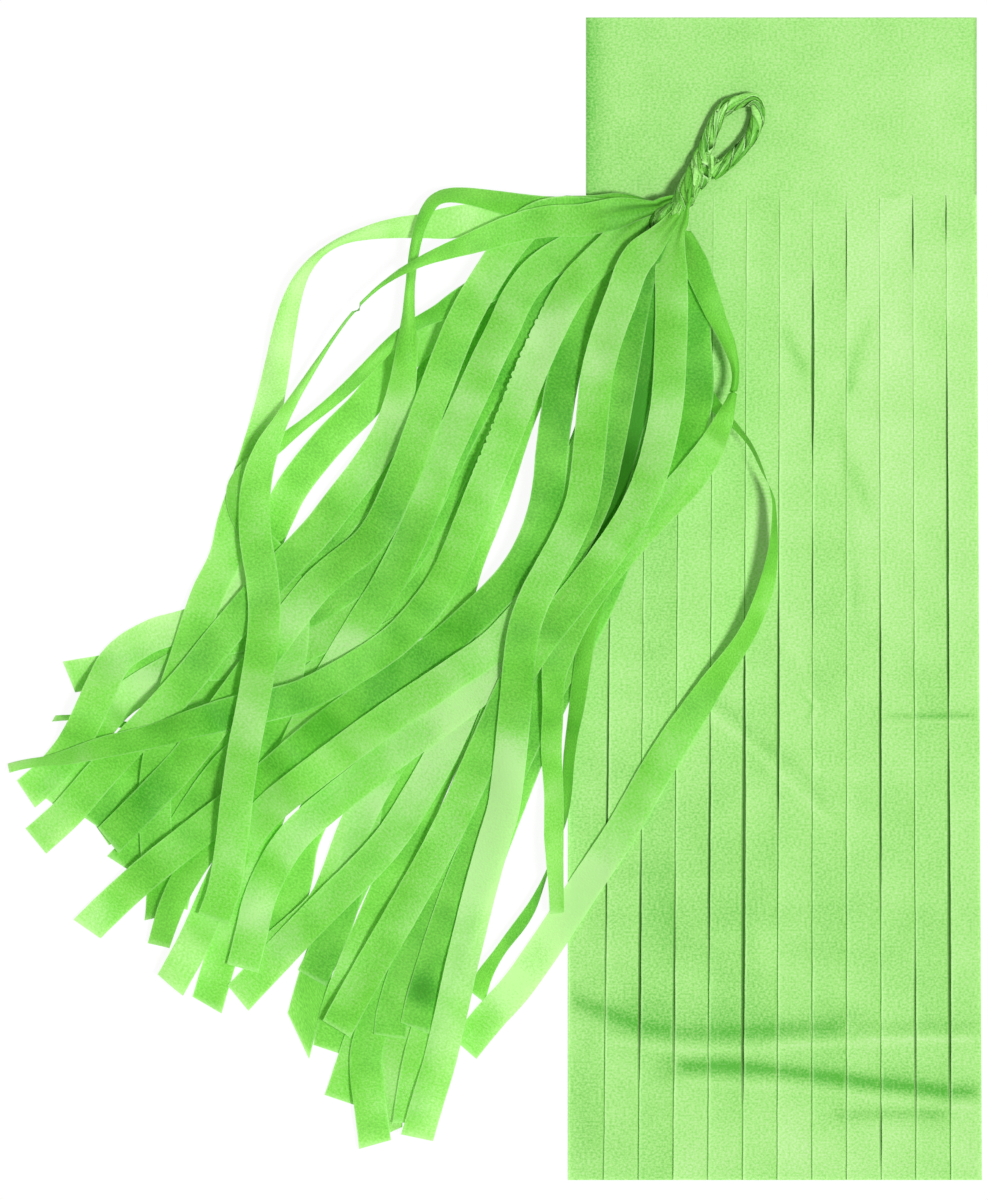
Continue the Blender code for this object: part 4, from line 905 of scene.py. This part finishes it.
def buildTwist():
    low, high = headLow.z, headHigh.z
    fork, rope = twist["forkHeight"], twist["ropeHalf"]
    loop = np.array([(*fromPhoto(*p), fork) for p in twist["loopRoute"]])
    loop = evenRows(smoothRows(loop, 12), twist["loopRows"])
    half = rope * (1 + twist["swelling"] * ripple(61, lengthAlong(loop), (0.007, 0.013)))
    wound("loop", "twisted_loop", loop, half, half, twist["loopLean"], 21)
    rows = np.array([(*fromPhoto(*p), 0.0, h * mm) for p, h in zip(twist["neckRoute"], twist["neckHalf"])])
    rows = evenRows(smoothRows(rows, 12), twist["neckRows"])
    share = softStep(np.linspace(0, 1, twist["neckRows"]))
    rows[:, 2] = fork + ((low + high) / 2 - fork) * share
    tall = rope + ((high - low) / 2 * twist["headShare"] - rope) * share
    wound("neck", "twisted_neck", rows[:, :3], rows[:, 3], tall, twist["neckLean"], 33)


# the rolled band's end, crumpled down between the strips that leave it to both sides
def buildGather():
    rows = np.array([(*fromPhoto(px, py), z * mm, h * mm, t * mm) for (px, py, z), h, t in
                     zip(twist["gatherRoute"], twist["gatherHalf"], twist["gatherTall"])])
    rows = evenRows(smoothRows(rows, 12), twist["gatherRows"])
    return wound("gather", "gathered_root", rows[:, :3], rows[:, 3], rows[:, 4], twist["neckLean"], 47)


buildTwist()
gather = buildGather()
for number, node in enumerate(strips):
    piece, length = buildRibbon(number, node)
print("tassel laid")


# floor, lamps and camera

studio = {"floorSize": 4.0, "floorHeight": -0.3 * mm, "floorTone": 0.93, "worldStrength": 0.45,
          "sunStrength": 2.8, "sunFrom": (0.29, -0.10, 0.95), "sunSoftness": 8.5, "cameraHeight": 4.0}


# a white floor that the camera sees brighter than the lamps make it
def buildFloor():
    bpy.ops.mesh.primitive_plane_add(size=studio["floorSize"], location=(0, 0, studio["floorHeight"]))
    floor = bpy.context.object
    floor.name = "floor"
    material, tree, shader, output = newMaterial("paleFloor")
    tone = studio["floorTone"]
    fill(shader, {"Base Color": (tone, tone, tone), "Roughness": 0.9, "Specular IOR Level": 0.0})
    glow = add(tree, "Emission", {"Strength": 1.0})
    seen = add(tree, "LightPath", {}).outputs["Is Camera Ray"]
    seen = add(tree, "Math", {0: seen, 1: tone}, operation="MULTIPLY").outputs[0]
    both = {"Fac": seen, 1: shader.outputs["BSDF"], 2: glow.outputs["Emission"]}
    fill(output, {"Surface": add(tree, "MixShader", both).outputs["Shader"]})
    floor.data.materials.append(material)


# a dim white sky for the light, and a plain white one for the camera
def buildSky():
    world = bpy.context.scene.world = bpy.data.worlds.new("studio")
    world.use_nodes = True
    tree = world.node_tree
    back, plain = tree.nodes["Background"], add(tree, "Background", {"Color": (1, 1, 1), "Strength": 1.0})
    fill(back, {"Color": (1, 1, 1), "Strength": studio["worldStrength"]})
    both = {"Fac": add(tree, "LightPath", {}).outputs["Is Camera Ray"], 1: back.outputs["Background"],
            2: plain.outputs["Background"]}
    fill(tree.nodes["World Output"], {"Surface": add(tree, "MixShader", both).outputs["Shader"]})


# a soft key lamp, and a camera high above
def buildLampAndCamera():
    lamp = bpy.data.lights.new("key", "SUN")
    lamp.energy = studio["sunStrength"]
    lamp.angle = math.radians(studio["sunSoftness"])
    key = bpy.data.objects.new("key", lamp)
    key.rotation_euler = Vector(studio["sunFrom"]).to_track_quat("Z", "Y").to_euler()
    bpy.context.scene.collection.objects.link(key)

    lens = bpy.data.cameras.new("camera")
    lens.sensor_width = 36
    lens.lens = lens.sensor_width * studio["cameraHeight"] / (picture["size"][1] * photoStep)
    lens.clip_end = 50
    camera = bpy.data.objects.new("camera", lens)
    middle = fromPhoto(picture["size"][0] / 2, picture["size"][1] / 2)
    camera.location = (*middle, studio["cameraHeight"])
    bpy.context.scene.collection.objects.link(camera)
    bpy.context.scene.camera = camera
    bpy.context.scene.view_settings.view_transform = "Standard"


buildFloor()
buildSky()
buildLampAndCamera()
print("studio ready")

bpy.context.view_layer.update()
